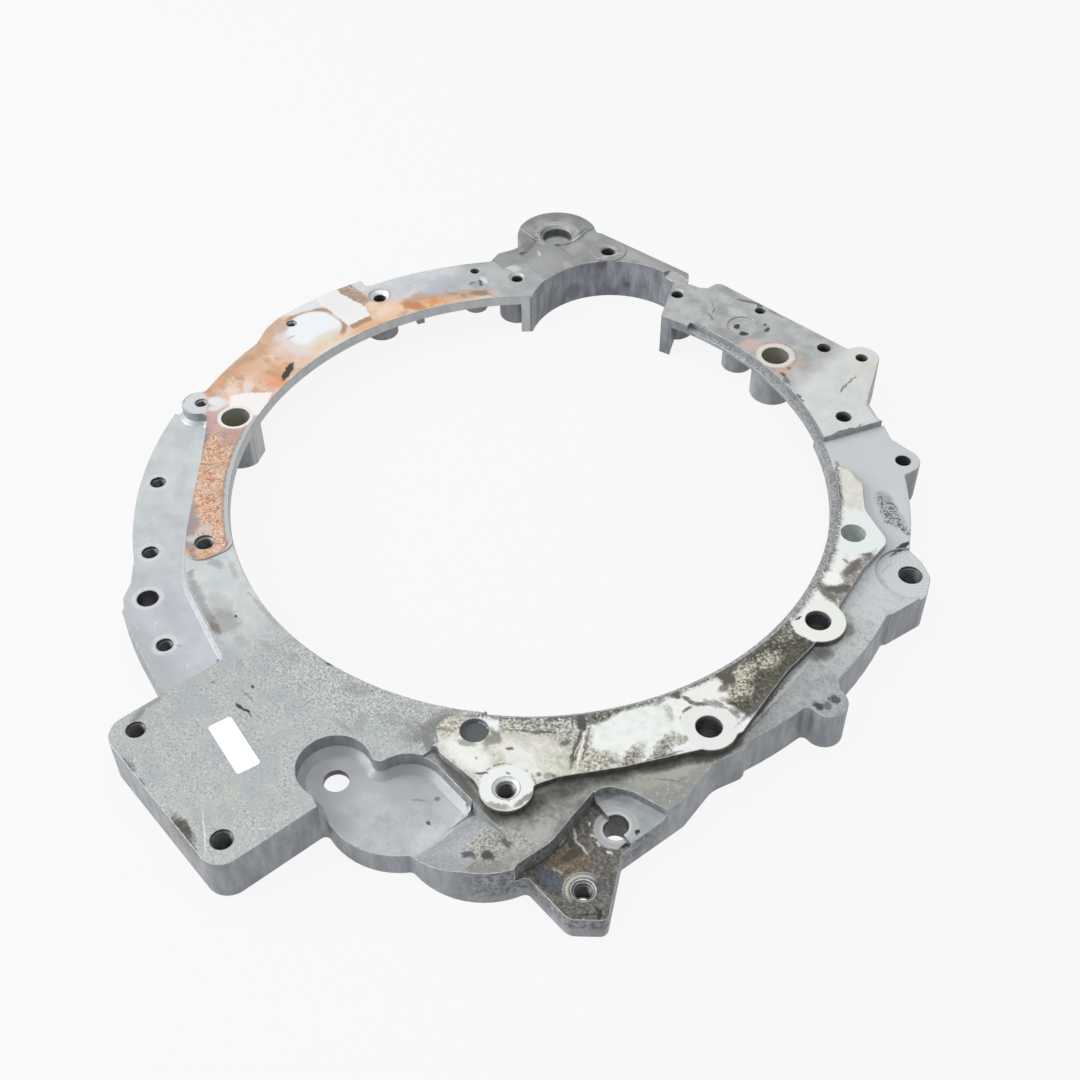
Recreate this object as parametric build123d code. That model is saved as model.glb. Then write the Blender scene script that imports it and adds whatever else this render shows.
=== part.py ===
from build123d import *
import os

# A cast and machined adapter plate, lying on its engine side, in millimetres.
# The origin is the centre of the big opening on the plane that the plate rests on, with +Z up.
# The two straight edges of the square pad lie along X and Y, and the pad is on the -Y side.

# Driving dimensions
PLATE_T = 28.0
OPENING_R = 165.0
RING_R = 204.5
LEDGE_R = 168.8
WEB_T = 6.5
WALL_T = 8.0
NOTCH_R = 3.0
RIB_T = 5.0
RIB_START_R = 188.0
RIB_LENGTH = 50.0
RIB_COUNT = 14
ABOVE = PLATE_T + 12.0

# Heights of the upper surfaces above the resting plane
PAD_Z = 25.5
FLANGE_Z = 24.0
CRESCENT_Z = 20.0
STEP_BOSS_Z = 17.5
LUG_Z = 14.0
POCKET_Z = 14.0
POCKET_WEB_T = 4.0
ARM_Z = 27.2
SPOT_Z = 22.5

# The hollow underside: its roof follows the upper surfaces, and keeps clear of their steps
FACE_ROOF_Z = PLATE_T - WEB_T
CAST_ROOF_Z = FLANGE_Z - WEB_T
CRESCENT_ROOF_Z = CRESCENT_Z - WEB_T
POCKET_ROOF_Z = POCKET_Z - POCKET_WEB_T
ROOF_GROW = 5.0
SMALLEST_CELL = 150.0

# The square pad
PAD_X0 = 1.0
PAD_X1 = 103.5
PAD_Y = -267.5
PAD_RIBS_X = (34.0, 69.0)
PAD_RIB_Y = -222.0
PAD_RIB_TOP_Y = -175.0

# The starter motor lobe and the ear beside it
LOBE_X, LOBE_Y, LOBE_R = -82.0, 137.0, 52.5
LOBE_WALL_T = 7.0
LOBE_LIP_W, LOBE_LIP_H = 5.0, 4.0
EAR_X, EAR_Y, EAR_R = -166.8, 163.8, 26.3

# Plain bolt holes and tapped holes: x, y, radius, radius of the chamfer's mouth, radius of the boss below
FACE_HOLES = [
    (-72.4, -164.3, 5.3, 5.3, 11.0),
    (-172.0, -105.7, 3.5, 3.5, 8.0),
    (-201.0, -23.5, 3.1, 3.1, 8.0),
    (-188.8, 34.7, 3.8, 6.6, 10.0),
    (-170.2, 96.8, 2.8, 2.8, 7.5),
    (-147.2, 113.0, 3.5, 5.3, 11.5),
    (-131.2, 177.0, 4.4, 5.8, 10.5),
    (-67.8, 178.4, 3.7, 5.0, 11.5),
    (-21.2, 204.8, 3.2, 3.2, 7.5),
    (29.8, 207.0, 4.1, 4.1, 8.5),
    (51.0, 216.8, 3.5, 3.5, 9.0),
    (80.0, 168.0, 4.4, 4.4, 9.0),
    (176.3, 40.4, 6.4, 6.4, 12.0),
    (188.0, -48.2, 6.4, 6.4, 12.0),
    (152.9, -143.0, 4.6, 6.4, 11.0),
]
CAST_HOLES = [
    (124.2, 168.7, 4.3, 4.3, 8.5),
    (11.6, -253.7, 4.8, 4.8, 10.0),
    (90.5, -255.3, 5.4, 5.4, 10.0),
]
CRESCENT_HOLES = [
    (-137.5, -156.1, 4.2, 4.2, 9.0),
    (-92.3, -187.2, 4.4, 4.4, 9.0),
    (-63.9, -205.0, 5.6, 5.6, 10.0),
    (-30.5, -214.6, 4.2, 4.2, 9.0),
]
LUG_HOLE = (183.3, 104.5, 6.2, 6.2, 12.0)
STEP_BOSS_HOLE = (195.2, -113.5, 5.8, 5.8, 11.0)
CORNER_LUG_HOLE = (209.2, -145.7, 4.2, 5.6, 9.0)

# Bores that locate the gearbox: x, y, bore radius, radius below the seat, radius of the boss below
DOWEL_DEPTH = 14.0
DOWELS = [
    (-148.0, -97.5, 8.0, 6.0, 13.5),
    (15.7, 179.3, 8.0, 6.0, 13.0),
    (146.6, 100.6, 6.4, 5.0, 12.0),
]
PILOT_BOSS = (-17.0, 183.0, 9.5)
POCKET_HOLE = (90.1, -194.7, 6.2)
EAR_HOLE_R = 9.4
EAR_MOUTH_R = 11.7
EAR_BOSS_R = 16.0

# Shallow round sinkings in the top: x, y, radius, depth
BLIND_DISC = (117.7, -133.4, 6.9, 2.5)
RECESS = (-17.5, 185.5, 9.5, 0.8)

# The round end of the left face, above the crescent flange: x, y, radius
CORNER_LOBE = (-172.8, -106.6, 10.0)

# Depth of a hole's chamfer for each unit of its width, and the smallest corners of the cut surfaces
CHAMFER_SLOPE = 0.8
FOOT_MARGIN = 0.8
FACE_CORNER_R = 2.3


def rounded(corners):
    """A face from corners (x, y, fillet radius), walked round once."""
    path = FilletPolyline(*[(x, y) for x, y, _ in corners], radius=[r for _, _, r in corners], close=True)
    return make_face(path)


def disc(x, y, radius):
    return Pos(x, y) * Circle(radius)


def prism(face, z0, z1):
    """The face extruded from one height to another."""
    return Pos(0, 0, z0) * extrude(face, z1 - z0, dir=(0, 0, 1))


def sector(radius, start, end):
    """A pie slice of a circle about the opening's centre."""
    arc = CenterArc((0, 0), radius, start, end - start)
    return make_face(Curve() + [Line((0, 0), arc @ 0), arc, Line(arc @ 1, (0, 0))])


def smooth(face, radius):
    """The face with both its outward and its inward corners rounded."""
    return offset(offset(offset(face, radius), -2 * radius), radius)


def cutter(face, z, foot):
    """A prism that clears everything above one height and leaves a bevelled foot round itself."""
    tool = prism(smooth(face, foot + FOOT_MARGIN), z, ABOVE)
    return chamfer(tool.faces().sort_by(Axis.Z)[0].edges(), foot)


def roof(face, z):
    """The metal kept above the hollow underside, below a low upper surface."""
    return prism(offset(face, ROOF_GROW), z, ABOVE)


def radial_rib(angle):
    """A straight rib in plan that points at the opening's centre."""
    return Rot(0, 0, angle) * Pos(RIB_START_R + RIB_LENGTH / 2, 0) * Rectangle(RIB_LENGTH, RIB_T)


def drilled(x, y, radius, mouth_r, z_top):
    """A through hole with a chamfered mouth at the height of its surface."""
    hole = Pos(x, y, PLATE_T / 2) * Cylinder(radius, 2 * PLATE_T)
    if mouth_r == radius:
        return hole
    depth = (mouth_r - radius) * CHAMFER_SLOPE
    mouth = Pos(x, y, z_top - depth / 2) * Cone(radius, mouth_r, depth)
    return hole + mouth + Pos(x, y, z_top + 5) * Cylinder(mouth_r, 10)


# Plan outline
# Every outer form is a plain shape of its own, and they are joined as a pattern maker would join them.
pad = rounded([
    (PAD_X0, PAD_Y, 12), (PAD_X1, PAD_Y, 11), (PAD_X1, -150, 0), (PAD_X0, -150, 0),
])
left_bump = sector(212.5, 170.5, 187.5) + rounded([
    (-180, -66, 0), (-191, -61, 0), (-207, -38, 8), (-211, -27, 0), (-180, -20, 0),
])
crescent = sector(217.6, 213, 262) + sector(229.0, 253.5, 272) + rounded([
    (-96, -190, 0), (-90.5, -198.5, 6), (-79.5, -206, 6), (-72, -215, 6), (-61, -220, 0), (-40, -180, 0),
]) + rounded([
    (-45, -180, 0), (-45, -224.4, 0), (2, -232.8, 0), (2, -180, 0),
])
right_flange = sector(207.8, -22, 62)
shoulder = rounded([
    (150, -40, 0), (208, -36, 6), (202.5, -58, 18), (208, -82, 0), (206.5, -122, 0), (170, -140, 0),
])
lobes = disc(112, -172, 39.4) + disc(147.3, -151, 41.6)
corner_lug = rounded([
    (180, -110, 0), (206.5, -120, 3), (227.5, -147.5, 4), (216, -160.3, 8), (170, -160.3, 0),
])
upper_block = rounded([
    (-59.3, 185, 0), (-59.3, 206.5, 5), (-38, 208.6, 0), (38, 216.8, 6), (60.5, 221, 0), (81, 187, 0),
    (60, 170, 0),
])
starter_arm = rounded([
    (-172, 112, 0), (-176.5, 121, 3), (-173, 133, 8), (-176, 143, 8), (-150, 187.6, 0), (-79, 199.6, 3),
    (-70, 190, 0), (-60, 160, 0), (-120, 100, 0),
])
lugs = (
    disc(EAR_X, EAR_Y, EAR_R)
    + disc(51, 216.8, 10.4)
    + disc(124.2, 168.7, 9.5)
    + disc(212.7, 8.5, 9.6)
    + disc(*CORNER_LOBE)
)
lug_roots = (
    rounded([(95, 160, 0), (105, 177.6, 0), (125, 178.2, 0), (134, 170, 0), (130, 140, 0)])
    + rounded([(180, 0, 0), (213, -1, 0), (222, 10, 0), (207, 22, 0), (185, 30, 0)])
    + rounded([(168, 118.5, 0), (181, 116.4, 6), (191.5, 111, 8), (198.8, 99, 5), (196, 75, 0), (165, 80, 0)])
)
main_forms = Circle(RING_R) + crescent + right_flange + lobes + pad + upper_block + starter_arm
outline = main_forms + left_bump + shoulder + corner_lug + lugs + lug_roots
outline = offset(offset(outline, NOTCH_R), -NOTCH_R)

# The opening, with the starter motor lobe beside it
starter_lobe = disc(LOBE_X, LOBE_Y, LOBE_R) & rounded([
    (-140, 80, 0), (-140, 200, 0), (-88, 200, 0), (-60, 158, 0), (-40, 130, 0), (-60, 90, 0),
])
plan = outline - Circle(OPENING_R) - starter_lobe

# Raised gasket face on the right, with a round boss at each of its holes
right_face = rounded([
    (90, 120, 0), (109, 137, 4), (124, 134, 6), (139, 119, 8), (163, 110, 8), (167, 86, 20),
    (177, 55, 0), (186, 26, 0), (188.5, 6, 20), (193, -12, 30), (200.5, -38, 0), (196, -58.5, 0),
    (178.5, -95, 60), (163.5, -121, 8), (160, -132, 0), (147, -153, 0), (140, -151.3, 8),
    (117, -154, 8), (104, -146, 5), (103, -138, 5), (112, -125, 0), (150, 0, 0),
]) + disc(176.3, 40.4, 14.2) + disc(188, -48.2, 13.8) + disc(152.9, -143, 12.6) - Circle(LEDGE_R)

# The as-cast flange lies lower, all round that face, and the square pad is a little higher than the flange
flange_region = rounded([
    (83, 141, 0), (98, 186, 0), (120, 215, 0), (260, 215, 0), (260, -290, 0), (112, -290, 0), (112, 0, 0),
]) + rounded([(83, 141, 0), (114, 141, 0), (114, 0, 0), (60, 100, 0)]) - right_face
pad_region = Pos(46, -190) * Rectangle(132, 200) - right_face

# A gentle ramp leads from the end of the left face down to the as-cast level
RAMP_X0, RAMP_X1, RAMP_DROP = -60.0, -20.0, 0.8
ramp_profile = Polyline(
    (-100, PLATE_T - RAMP_DROP), (RAMP_X0, PLATE_T - RAMP_DROP), (RAMP_X1, PAD_Z), (0, PAD_Z),
    (0, ABOVE), (-100, ABOVE), close=True,
)
ramp_region = rounded([
    (-70, -140, 0), (-59.5, -158, 8), (-63, -178, 9), (-84, -174.5, 6), (-92, -200, 0), (-1, -230, 0),
    (-1, -120, 0),
])
ramp_cut = extrude(Plane.XZ * make_face(ramp_profile), 260) & prism(ramp_region, 0, ABOVE)

# The crescent flange lies lower, outside a long curved shoulder
crescent_region = rounded([
    (-260, -110, 0), (-159, -109.5, 3), (-130, -131.5, 90), (-86, -167.5, 10), (-60, -185, 60),
    (PAD_X0, -198, 0), (PAD_X0, -290, 0), (-260, -290, 0),
]) - disc(*CORNER_LOBE)

# The pocket beside the pad: two round bays at its head and an open front
bays = disc(POCKET_HOLE[0], POCKET_HOLE[1], 17.8) + disc(121, -176, 18.5)
pocket_region = bays + rounded([
    (92, -194, 0), (99, -212, 0), (108, -214, 0), (110, -240, 0), (152, -240, 0), (148.5, -157.5, 0),
    (121, -157.5, 0), (104, -178, 0),
])

# A ramp climbs from the pocket's floor to the flange
SLOPE_X0, SLOPE_X1 = 147.0, 172.0
SLOPE_Y0, SLOPE_Y1 = -237.5, -157.5
slope_profile = Polyline(
    (SLOPE_X0 - 1, POCKET_Z), (SLOPE_X0, POCKET_Z), (SLOPE_X1, FLANGE_Z), (SLOPE_X1, ABOVE),
    (SLOPE_X0 - 1, ABOVE), close=True,
)
slope_cut = Pos(0, SLOPE_Y1, 0) * extrude(Plane.XZ * make_face(slope_profile), SLOPE_Y1 - SLOPE_Y0)
slope_region = Pos((SLOPE_X0 + SLOPE_X1) / 2, -190) * Rectangle(SLOPE_X1 - SLOPE_X0 + 5, 65)

step_boss_region = rounded([
    (240, -84, 0), (207.5, -93.5, 0), (190, -98.5, 14), (178.5, -106, 9), (179, -116, 12),
    (186.5, -132.5, 5), (197, -135.5, 0), (240, -110, 0),
])
corner_lug_region = rounded([
    (178, -112, 0), (181.5, -127, 8), (186, -144, 20), (185, -163, 0), (192, -180, 0), (240, -190, 0),
    (240, -112, 0), (210, -115, 0),
])

# The starter arm lies a little lower than the machined face, apart from the seats round its holes
arm_region = rounded([
    (-200, 113, 0), (-160, 113, 4), (-150, 127, 0), (-133, 124, 0), (-125, 165, 0), (-95, 182, 0),
    (-80, 175, 0), (-62, 186, 0), (-62, 220, 0), (-215, 220, 0),
]) - disc(-147.2, 113, 13.5) - disc(-131.2, 177, 11.5) - disc(-67.8, 178.4, 12.5)

ear_top = rounded([
    (-215, 149, 0), (-172, 149.5, 6), (-158, 155, 8), (-153, 166, 12), (-157, 182, 8), (-160, 215, 0),
    (-215, 215, 0),
])
arm_region -= ear_top
rim_ledge = sector(LEDGE_R, 38, 104)
spot_region = disc(LUG_HOLE[0], LUG_HOLE[1], 18)

# The lobe's inner edge slopes down to its wall on the side away from the ear
lip = Pos(LOBE_X, LOBE_Y, ARM_Z - LOBE_LIP_H / 2) * Cone(LOBE_R, LOBE_R + LOBE_LIP_W, LOBE_LIP_H)
lip_region = rounded([
    (-100, 150, 0), (-88, 200, 0), (-75, 200, 0), (-56, 166, 0), (-62, 150, 0),
]) - disc(-67.8, 178.4, 12.5)

# Hollow underside: a deep outer wall, a wall round the starter motor lobe, bosses and ribs
# The wall follows the main forms, so the small lugs on it stay solid.
lobe_wall = offset(starter_lobe, LOBE_WALL_T)
bosses = Sketch() + [disc(x, y, boss_r) for x, y, _, _, boss_r in FACE_HOLES + CAST_HOLES + CRESCENT_HOLES]
bosses += [disc(x, y, boss_r) for x, y, _, _, boss_r in [LUG_HOLE, STEP_BOSS_HOLE] + DOWELS]
bosses += [disc(*PILOT_BOSS), disc(EAR_X, EAR_Y, EAR_BOSS_R)]
ribs = Sketch() + [radial_rib(360 / RIB_COUNT * (i + 0.3)) for i in range(RIB_COUNT)]
ribs += [Pos(x, (PAD_Y + PAD_RIB_TOP_Y) / 2) * Rectangle(RIB_T, PAD_RIB_TOP_Y - PAD_Y) for x in PAD_RIBS_X]
ribs += Pos((PAD_X0 + PAD_X1) / 2, PAD_RIB_Y) * Rectangle(PAD_X1 - PAD_X0, RIB_T)
hollow = offset(main_forms, -WALL_T) - lobe_wall - corner_lug_region - bosses - ribs
cells = Sketch() + [face for face in hollow.faces() if face.area > SMALLEST_CELL]

body = prism(plan, 0, PLATE_T)
body -= prism(smooth(flange_region, FACE_CORNER_R), FLANGE_Z, ABOVE)
body -= prism(pad_region, PAD_Z, ABOVE)
body -= ramp_cut
body -= cutter(crescent_region, CRESCENT_Z, 2.5)
body -= cutter(pocket_region, POCKET_Z, 3.5)
body -= slope_cut
body -= cutter(step_boss_region, STEP_BOSS_Z, 2.0)
body -= prism(corner_lug_region, LUG_Z, ABOVE)
body -= prism(arm_region, ARM_Z, ABOVE)
body -= prism(rim_ledge, FLANGE_Z, ABOVE)
body -= prism(spot_region, SPOT_Z, ABOVE)
body -= lip & prism(lip_region, 0, ABOVE)

cavity = prism(cells, -1, FACE_ROOF_Z)
cavity -= roof(pad_region + flange_region, CAST_ROOF_Z)
cavity -= roof(crescent_region, CRESCENT_ROOF_Z)
cavity -= roof(pocket_region + slope_region + step_boss_region, POCKET_ROOF_Z)
body -= cavity

holes = []
for x, y, r, mouth_r, _ in FACE_HOLES:
    holes.append(drilled(x, y, r, mouth_r, PLATE_T))
for x, y, r, mouth_r, _ in CAST_HOLES[:1]:
    holes.append(drilled(x, y, r, mouth_r, FLANGE_Z))
for x, y, r, mouth_r, _ in CAST_HOLES[1:]:
    holes.append(drilled(x, y, r, mouth_r, PAD_Z))
for x, y, r, mouth_r, _ in CRESCENT_HOLES:
    holes.append(drilled(x, y, r, mouth_r, CRESCENT_Z))
holes.append(drilled(*LUG_HOLE[:4], SPOT_Z))
holes.append(drilled(*STEP_BOSS_HOLE[:4], STEP_BOSS_Z))
holes.append(drilled(*CORNER_LUG_HOLE[:4], LUG_Z))
holes.append(drilled(EAR_X, EAR_Y, EAR_HOLE_R, EAR_MOUTH_R, PLATE_T))
holes.append(drilled(*POCKET_HOLE, POCKET_HOLE[2], POCKET_Z))
for x, y, r, lower_r, _ in DOWELS:
    holes.append(drilled(x, y, lower_r, lower_r, PLATE_T))
    holes.append(prism(disc(x, y, r), PLATE_T - DOWEL_DEPTH, ABOVE))
for x, y, r, depth in (BLIND_DISC, RECESS):
    holes.append(prism(disc(x, y, r), PLATE_T - depth, ABOVE))
body -= holes

# Blank paper label on the pad
label_plan = Pos(49.7, -223.3) * Rot(0, 0, -7) * RectangleRounded(33, 12, 1.6)
label = prism(label_plan, PAD_Z, PAD_Z + 0.2)

if __name__ == "__main__":
    os.makedirs("parts", exist_ok=True)
    export_step(body, "parts/adapter_plate.step")
    export_step(label, "parts/paper_label.step")
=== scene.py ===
import math

import bmesh
import bpy
from mathutils import Matrix, Vector


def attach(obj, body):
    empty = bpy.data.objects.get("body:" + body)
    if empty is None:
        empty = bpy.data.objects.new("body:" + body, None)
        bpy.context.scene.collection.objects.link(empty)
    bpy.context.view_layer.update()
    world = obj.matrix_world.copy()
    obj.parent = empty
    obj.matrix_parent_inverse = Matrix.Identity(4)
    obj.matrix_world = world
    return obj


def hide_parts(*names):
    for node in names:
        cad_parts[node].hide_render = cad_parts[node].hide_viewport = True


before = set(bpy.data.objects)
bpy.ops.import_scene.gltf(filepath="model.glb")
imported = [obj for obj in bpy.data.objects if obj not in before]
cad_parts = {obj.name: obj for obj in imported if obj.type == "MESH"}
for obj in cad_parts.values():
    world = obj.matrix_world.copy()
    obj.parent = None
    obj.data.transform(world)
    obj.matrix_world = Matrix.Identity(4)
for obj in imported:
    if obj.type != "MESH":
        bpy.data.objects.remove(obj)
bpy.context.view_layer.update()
MM = 0.001


# The casting
# One aluminium casting carries the ring, pad, lobes and lugs. It was poured in a mould, its mating faces were
# milled and drilled, and a file took the sharpness off its outer edges.
class Value:
    """A shader socket that can be added, multiplied and subtracted like a number."""

    def __init__(self, tree, socket):
        self.tree, self.socket = tree, socket

    def _math(self, operation, a, b):
        return node(self.tree, "ShaderNodeMath", {"operation": operation}, {0: a, 1: b})

    def __add__(self, other):
        return self._math("ADD", self, other)

    def __radd__(self, other):
        return self._math("ADD", other, self)

    def __sub__(self, other):
        return self._math("SUBTRACT", self, other)

    def __rsub__(self, other):
        return self._math("SUBTRACT", other, self)

    def __mul__(self, other):
        return self._math("MULTIPLY", self, other)

    def __rmul__(self, other):
        return self._math("MULTIPLY", other, self)


def node(tree, kind, settings=None, inputs=None, out=0):
    """Adds a shader node. Its settings are set first, then the values or links of its sockets."""
    made = tree.nodes.new(kind)
    for name, value in (settings or {}).items():
        setattr(made, name, value)
    for name, value in (inputs or {}).items():
        if isinstance(value, Value):
            tree.links.new(value.socket, made.inputs[name])
        else:
            made.inputs[name].default_value = value
    return Value(tree, made.outputs[out])


def linear(colour):
    """A colour written as it looks on a screen, from 0 to 255, as Blender's linear light."""
    return tuple(
        c / 12.92 if c <= 0.04045 else ((c + 0.055) / 1.055) ** 2.4
        for c in [level / 255 for level in colour]
    )


def grey(level):
    return (level, level, level)


class Paint:
    """One finish: where a point lies in millimetres, and the layers laid on it so far.

    A colour is three levels from 0 to 255, or the socket of a ramp.
    """

    WOBBLE = 1.6

    def __init__(self, name, metal=0.3, rough=0.5):
        self.material = bpy.data.materials.new(name)
        self.material.use_nodes = True
        self.tree = self.material.node_tree
        self.shader = self.tree.nodes["Principled BSDF"]
        self.shader.inputs["Metallic"].default_value = metal
        coord = node(self.tree, "ShaderNodeTexCoord", out="Object")
        self.place = self.vector("SCALE", coord, scale=1 / MM)
        self.exact = self.vector("MULTIPLY_ADD", self.place, (1, 1, 0), (0, 0, 1))
        ragged = self.noise(3.0, 3, 0.65, 9, out="Color")
        centred = self.vector("ADD", self.exact, (-self.WOBBLE, -self.WOBBLE, 0))
        self.plan = self.vector("MULTIPLY_ADD", ragged, (2 * self.WOBBLE, 2 * self.WOBBLE, 0), centred)
        self.rag = self.noise(2.3, 3, 0.7, 33)
        self.colour, self.rough, self.height = None, rough, 0.0

    def vector(self, operation, *values, scale=None, out=0):
        inputs = dict(enumerate(values))
        if scale is not None:
            inputs["Scale"] = scale
        return node(self.tree, "ShaderNodeVectorMath", {"operation": operation}, inputs, out)

    def axes(self, vector):
        parts = self.tree.nodes.new("ShaderNodeSeparateXYZ")
        self.tree.links.new(vector.socket, parts.inputs[0])
        return [Value(self.tree, out) for out in parts.outputs]

    def math(self, operation, *values):
        return node(self.tree, "ShaderNodeMath", {"operation": operation}, dict(enumerate(values)))

    def step(self, value, low, high):
        """0 at low and 1 at high, smoothly, whichever of the two is the larger."""
        return node(
            self.tree, "ShaderNodeMapRange", {"interpolation_type": "SMOOTHSTEP"},
            {"Value": value, "From Min": low, "From Max": high},
        )

    def noise(self, size, detail=2.0, rough=0.5, seed=0.0, warp=0.0, stretch=(1, 1, 1), turn=0.0, out=0):
        """A grain from 0 to 1 whose lumps are about size millimetres across."""
        place = node(
            self.tree, "ShaderNodeMapping", {},
            {"Vector": self.place, "Location": (seed, -seed, seed * 0.7),
             "Rotation": (0, 0, math.radians(turn)), "Scale": stretch},
        )
        return node(
            self.tree, "ShaderNodeTexNoise", {}, {
                "Vector": place, "Scale": 1 / size, "Detail": detail, "Roughness": rough, "Distortion": warp,
            }, out,
        )

    def along(self, x, y, z):
        """How far the point lies along a direction of the plan, from a line that z sets off."""
        return self.vector("DOT_PRODUCT", self.plan, (x, y, z), out="Value")

    def from_point(self, point, x, y, z=1):
        return self.vector("DISTANCE", point, (x, y, z), out="Value")

    def from_middle(self, point):
        """How far the point lies from the middle of the ring, whatever its height."""
        return self.vector("LENGTH", self.vector("MULTIPLY", point, (1, 1, 0)), out="Value")

    def disc(self, x, y, radius, soft=0.5, exact=False):
        far = self.from_point(self.exact if exact else self.plan, x, y)
        return self.step(far, radius + soft, radius - soft)

    def ring(self, x, y, radius, width, soft=0.3):
        far = self.from_point(self.exact, x, y)
        return self.step(self.math("ABSOLUTE", far - radius), width / 2 + soft, width / 2 - soft)

    def ball(self, x, y, z, radius, soft=1.0):
        return self.step(self.from_point(self.place, x, y, z), radius + soft, radius - soft)

    def oval(self, x, y, long, wide, turn=0, soft=0.4, rag=0.6):
        """An oval mark with a soft, ragged edge, given by its half length, half width and direction."""
        cos, sin = math.cos(math.radians(turn)), math.sin(math.radians(turn))
        u = self.along(cos / long, sin / long, -(x * cos + y * sin) / long)
        v = self.along(-sin / wide, cos / wide, (x * sin - y * cos) / wide)
        far = self.math("MULTIPLY_ADD", u, u, v * v)
        if rag:
            far = self.math("MULTIPLY_ADD", self.rag, 2 * rag, far)
        return self.step(far, 1 + soft + rag, 1 - soft + rag)

    def ovals(self, rows, soft=0.4, rag=0.6):
        """Several ovals as one mask. A row may end in a strength below 1."""
        masks = []
        for row in rows:
            mask = self.oval(*row[:5], soft, rag)
            masks.append(mask * row[5] if len(row) > 5 else mask)
        return self.either(*masks)

    def strokes(self, rows, soft=0.6, rag=0.5):
        """Thin marks from one point to another, each with its width and perhaps a strength."""
        return self.ovals([
            ((x0 + x1) / 2, (y0 + y1) / 2, math.hypot(x1 - x0, y1 - y0) / 2, width / 2,
             math.degrees(math.atan2(y1 - y0, x1 - x0)), *strength)
            for x0, y0, x1, y1, width, *strength in rows
        ], soft, rag)

    def area(self, corners, soft=0.8, rag=0.0):
        """A patch with straight sides, none of them folded inward."""
        sides = list(zip(corners, corners[1:] + corners[:1]))
        way = 1 if sum(x0 * y1 - x1 * y0 for (x0, y0), (x1, y1) in sides) > 0 else -1
        inside = None
        for (x0, y0), (x1, y1) in sides:
            length = way * math.hypot(x1 - x0, y1 - y0)
            nx, ny = (y0 - y1) / length, (x1 - x0) / length
            depth = self.along(nx, ny, -(x0 * nx + y0 * ny))
            inside = depth if inside is None else self.math("MINIMUM", inside, depth)
        if rag:
            inside = self.math("MULTIPLY_ADD", self.rag, 2 * rag, inside)
        return self.step(inside, rag - soft, rag + soft)

    def either(self, *masks):
        total = masks[0]
        for mask in masks[1:]:
            total = self.math("MAXIMUM", total, mask)
        return total

    def ramp(self, value, *stops):
        """Blends colours along a value. Each stop is a place from 0 to 1 with its colour after it."""
        made = self.tree.nodes.new("ShaderNodeValToRGB")
        elements = made.color_ramp.elements
        for place in stops[2:-2:2]:
            elements.new(place)
        for element, place, colour in zip(elements, stops[::2], stops[1::2]):
            element.position = place
            element.color = (*linear(colour), 1)
        self.tree.links.new(value.socket, made.inputs["Fac"])
        return Value(self.tree, made.outputs[0])

    def mix(self, kind, first, mask, under, over):
        made = self.tree.nodes.new("ShaderNodeMix")
        made.data_type = kind
        for name, value in ((0, mask), (first, under), (first + 1, over)):
            if isinstance(value, Value):
                self.tree.links.new(value.socket, made.inputs[name])
            else:
                made.inputs[name].default_value = (*linear(value), 1) if isinstance(value, tuple) else value
        return Value(self.tree, made.outputs[2 if kind == "RGBA" else 0])

    def lay(self, mask, colour, rough=None, dent=0.0):
        """Lays a colour where the mask is 1, perhaps with a roughness and a dent in millimetres."""
        self.colour = self.mix("RGBA", 6, mask, self.colour, colour)
        if rough is not None:
            self.rough = self.mix("FLOAT", 2, mask, self.rough, rough)
        if dent:
            self.height = self.math("MULTIPLY_ADD", mask, -dent, self.height)

    def blots(self, rows, colour, soft=0.9, rag=0.8, rough=None, dent=0.0):
        self.lay(self.ovals(rows, soft, rag), colour, rough, dent)

    def marks(self, rows, colour, soft=0.6, rag=0.5, rough=None, dent=0.0):
        self.lay(self.strokes(rows, soft, rag), colour, rough, dent)

    def done(self):
        self.tree.links.new(self.colour.socket, self.shader.inputs["Base Color"])
        if isinstance(self.rough, Value):
            self.tree.links.new(self.rough.socket, self.shader.inputs["Roughness"])
        else:
            self.shader.inputs["Roughness"].default_value = self.rough
        bumps = {"Height": self.height, "Strength": 1.0, "Distance": MM}
        bump = node(self.tree, "ShaderNodeBump", {}, bumps, out="Normal")
        self.tree.links.new(bump.socket, self.shader.inputs["Normal"])
        return self.material


# the mould skin, on every wall and underneath
p = Paint("mould_skin", 0.35, 0.46)
x, y, z = p.axes(p.place)
streak = p.noise(5, 3, 0.6, 23, stretch=(1, 1, 0.3))
grain = p.noise(0.9, 1, 0.6, 5)
p.height = grain * 0.07
p.colour = p.ramp(streak, 0.3, (140, 143, 148), 0.5, (158, 161, 166), 0.7, (178, 181, 186))
p.lay(p.step(p.noise(2.2, 3, 0.7, 51), 0.56, 0.7) * 0.35, (118, 119, 122))
# the inner wall of the opening on the left is painted lighter: painted light
lit_opening_wall = p.step(p.from_middle(p.place), 167, 166) * p.step(x, -20, -60)
p.lay(lit_opening_wall, p.ramp(streak, 0.3, (188, 191, 193), 0.7, (208, 210, 212)))
# the wall of the starter lobe is painted darker: painted shade
shaded_lobe_wall = p.step(p.from_point(p.exact, -82, 137), 54.5, 53.5)
p.lay(shaded_lobe_wall, p.ramp(streak, 0.32, (118, 121, 127), 0.5, (142, 145, 152), 0.68, (166, 169, 176)), 0.5)
sealed_side = p.step(x, 128, 142) * p.step(y, 58, 44) * p.step(z, 23.6, 24.6)
p.lay(sealed_side, p.ramp(p.rag, 0.35, (70, 68, 66), 0.62, (116, 110, 100)), 0.6)
# darker in patches low on the walls in the corner by the lug
low_corner_darkening = p.step(x, 166, 182) * p.step(y, -92, -104) * p.step(z, 2, 9)
p.lay(low_corner_darkening * p.step(p.rag, 0.4, 0.62) * 0.8, (96, 94, 92), 0.6)
p.lay(p.oval(77, -268, 12, 3, 0, 0.8, 1.0) * p.step(z, 8, 24) * 0.6, (128, 118, 106))
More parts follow.
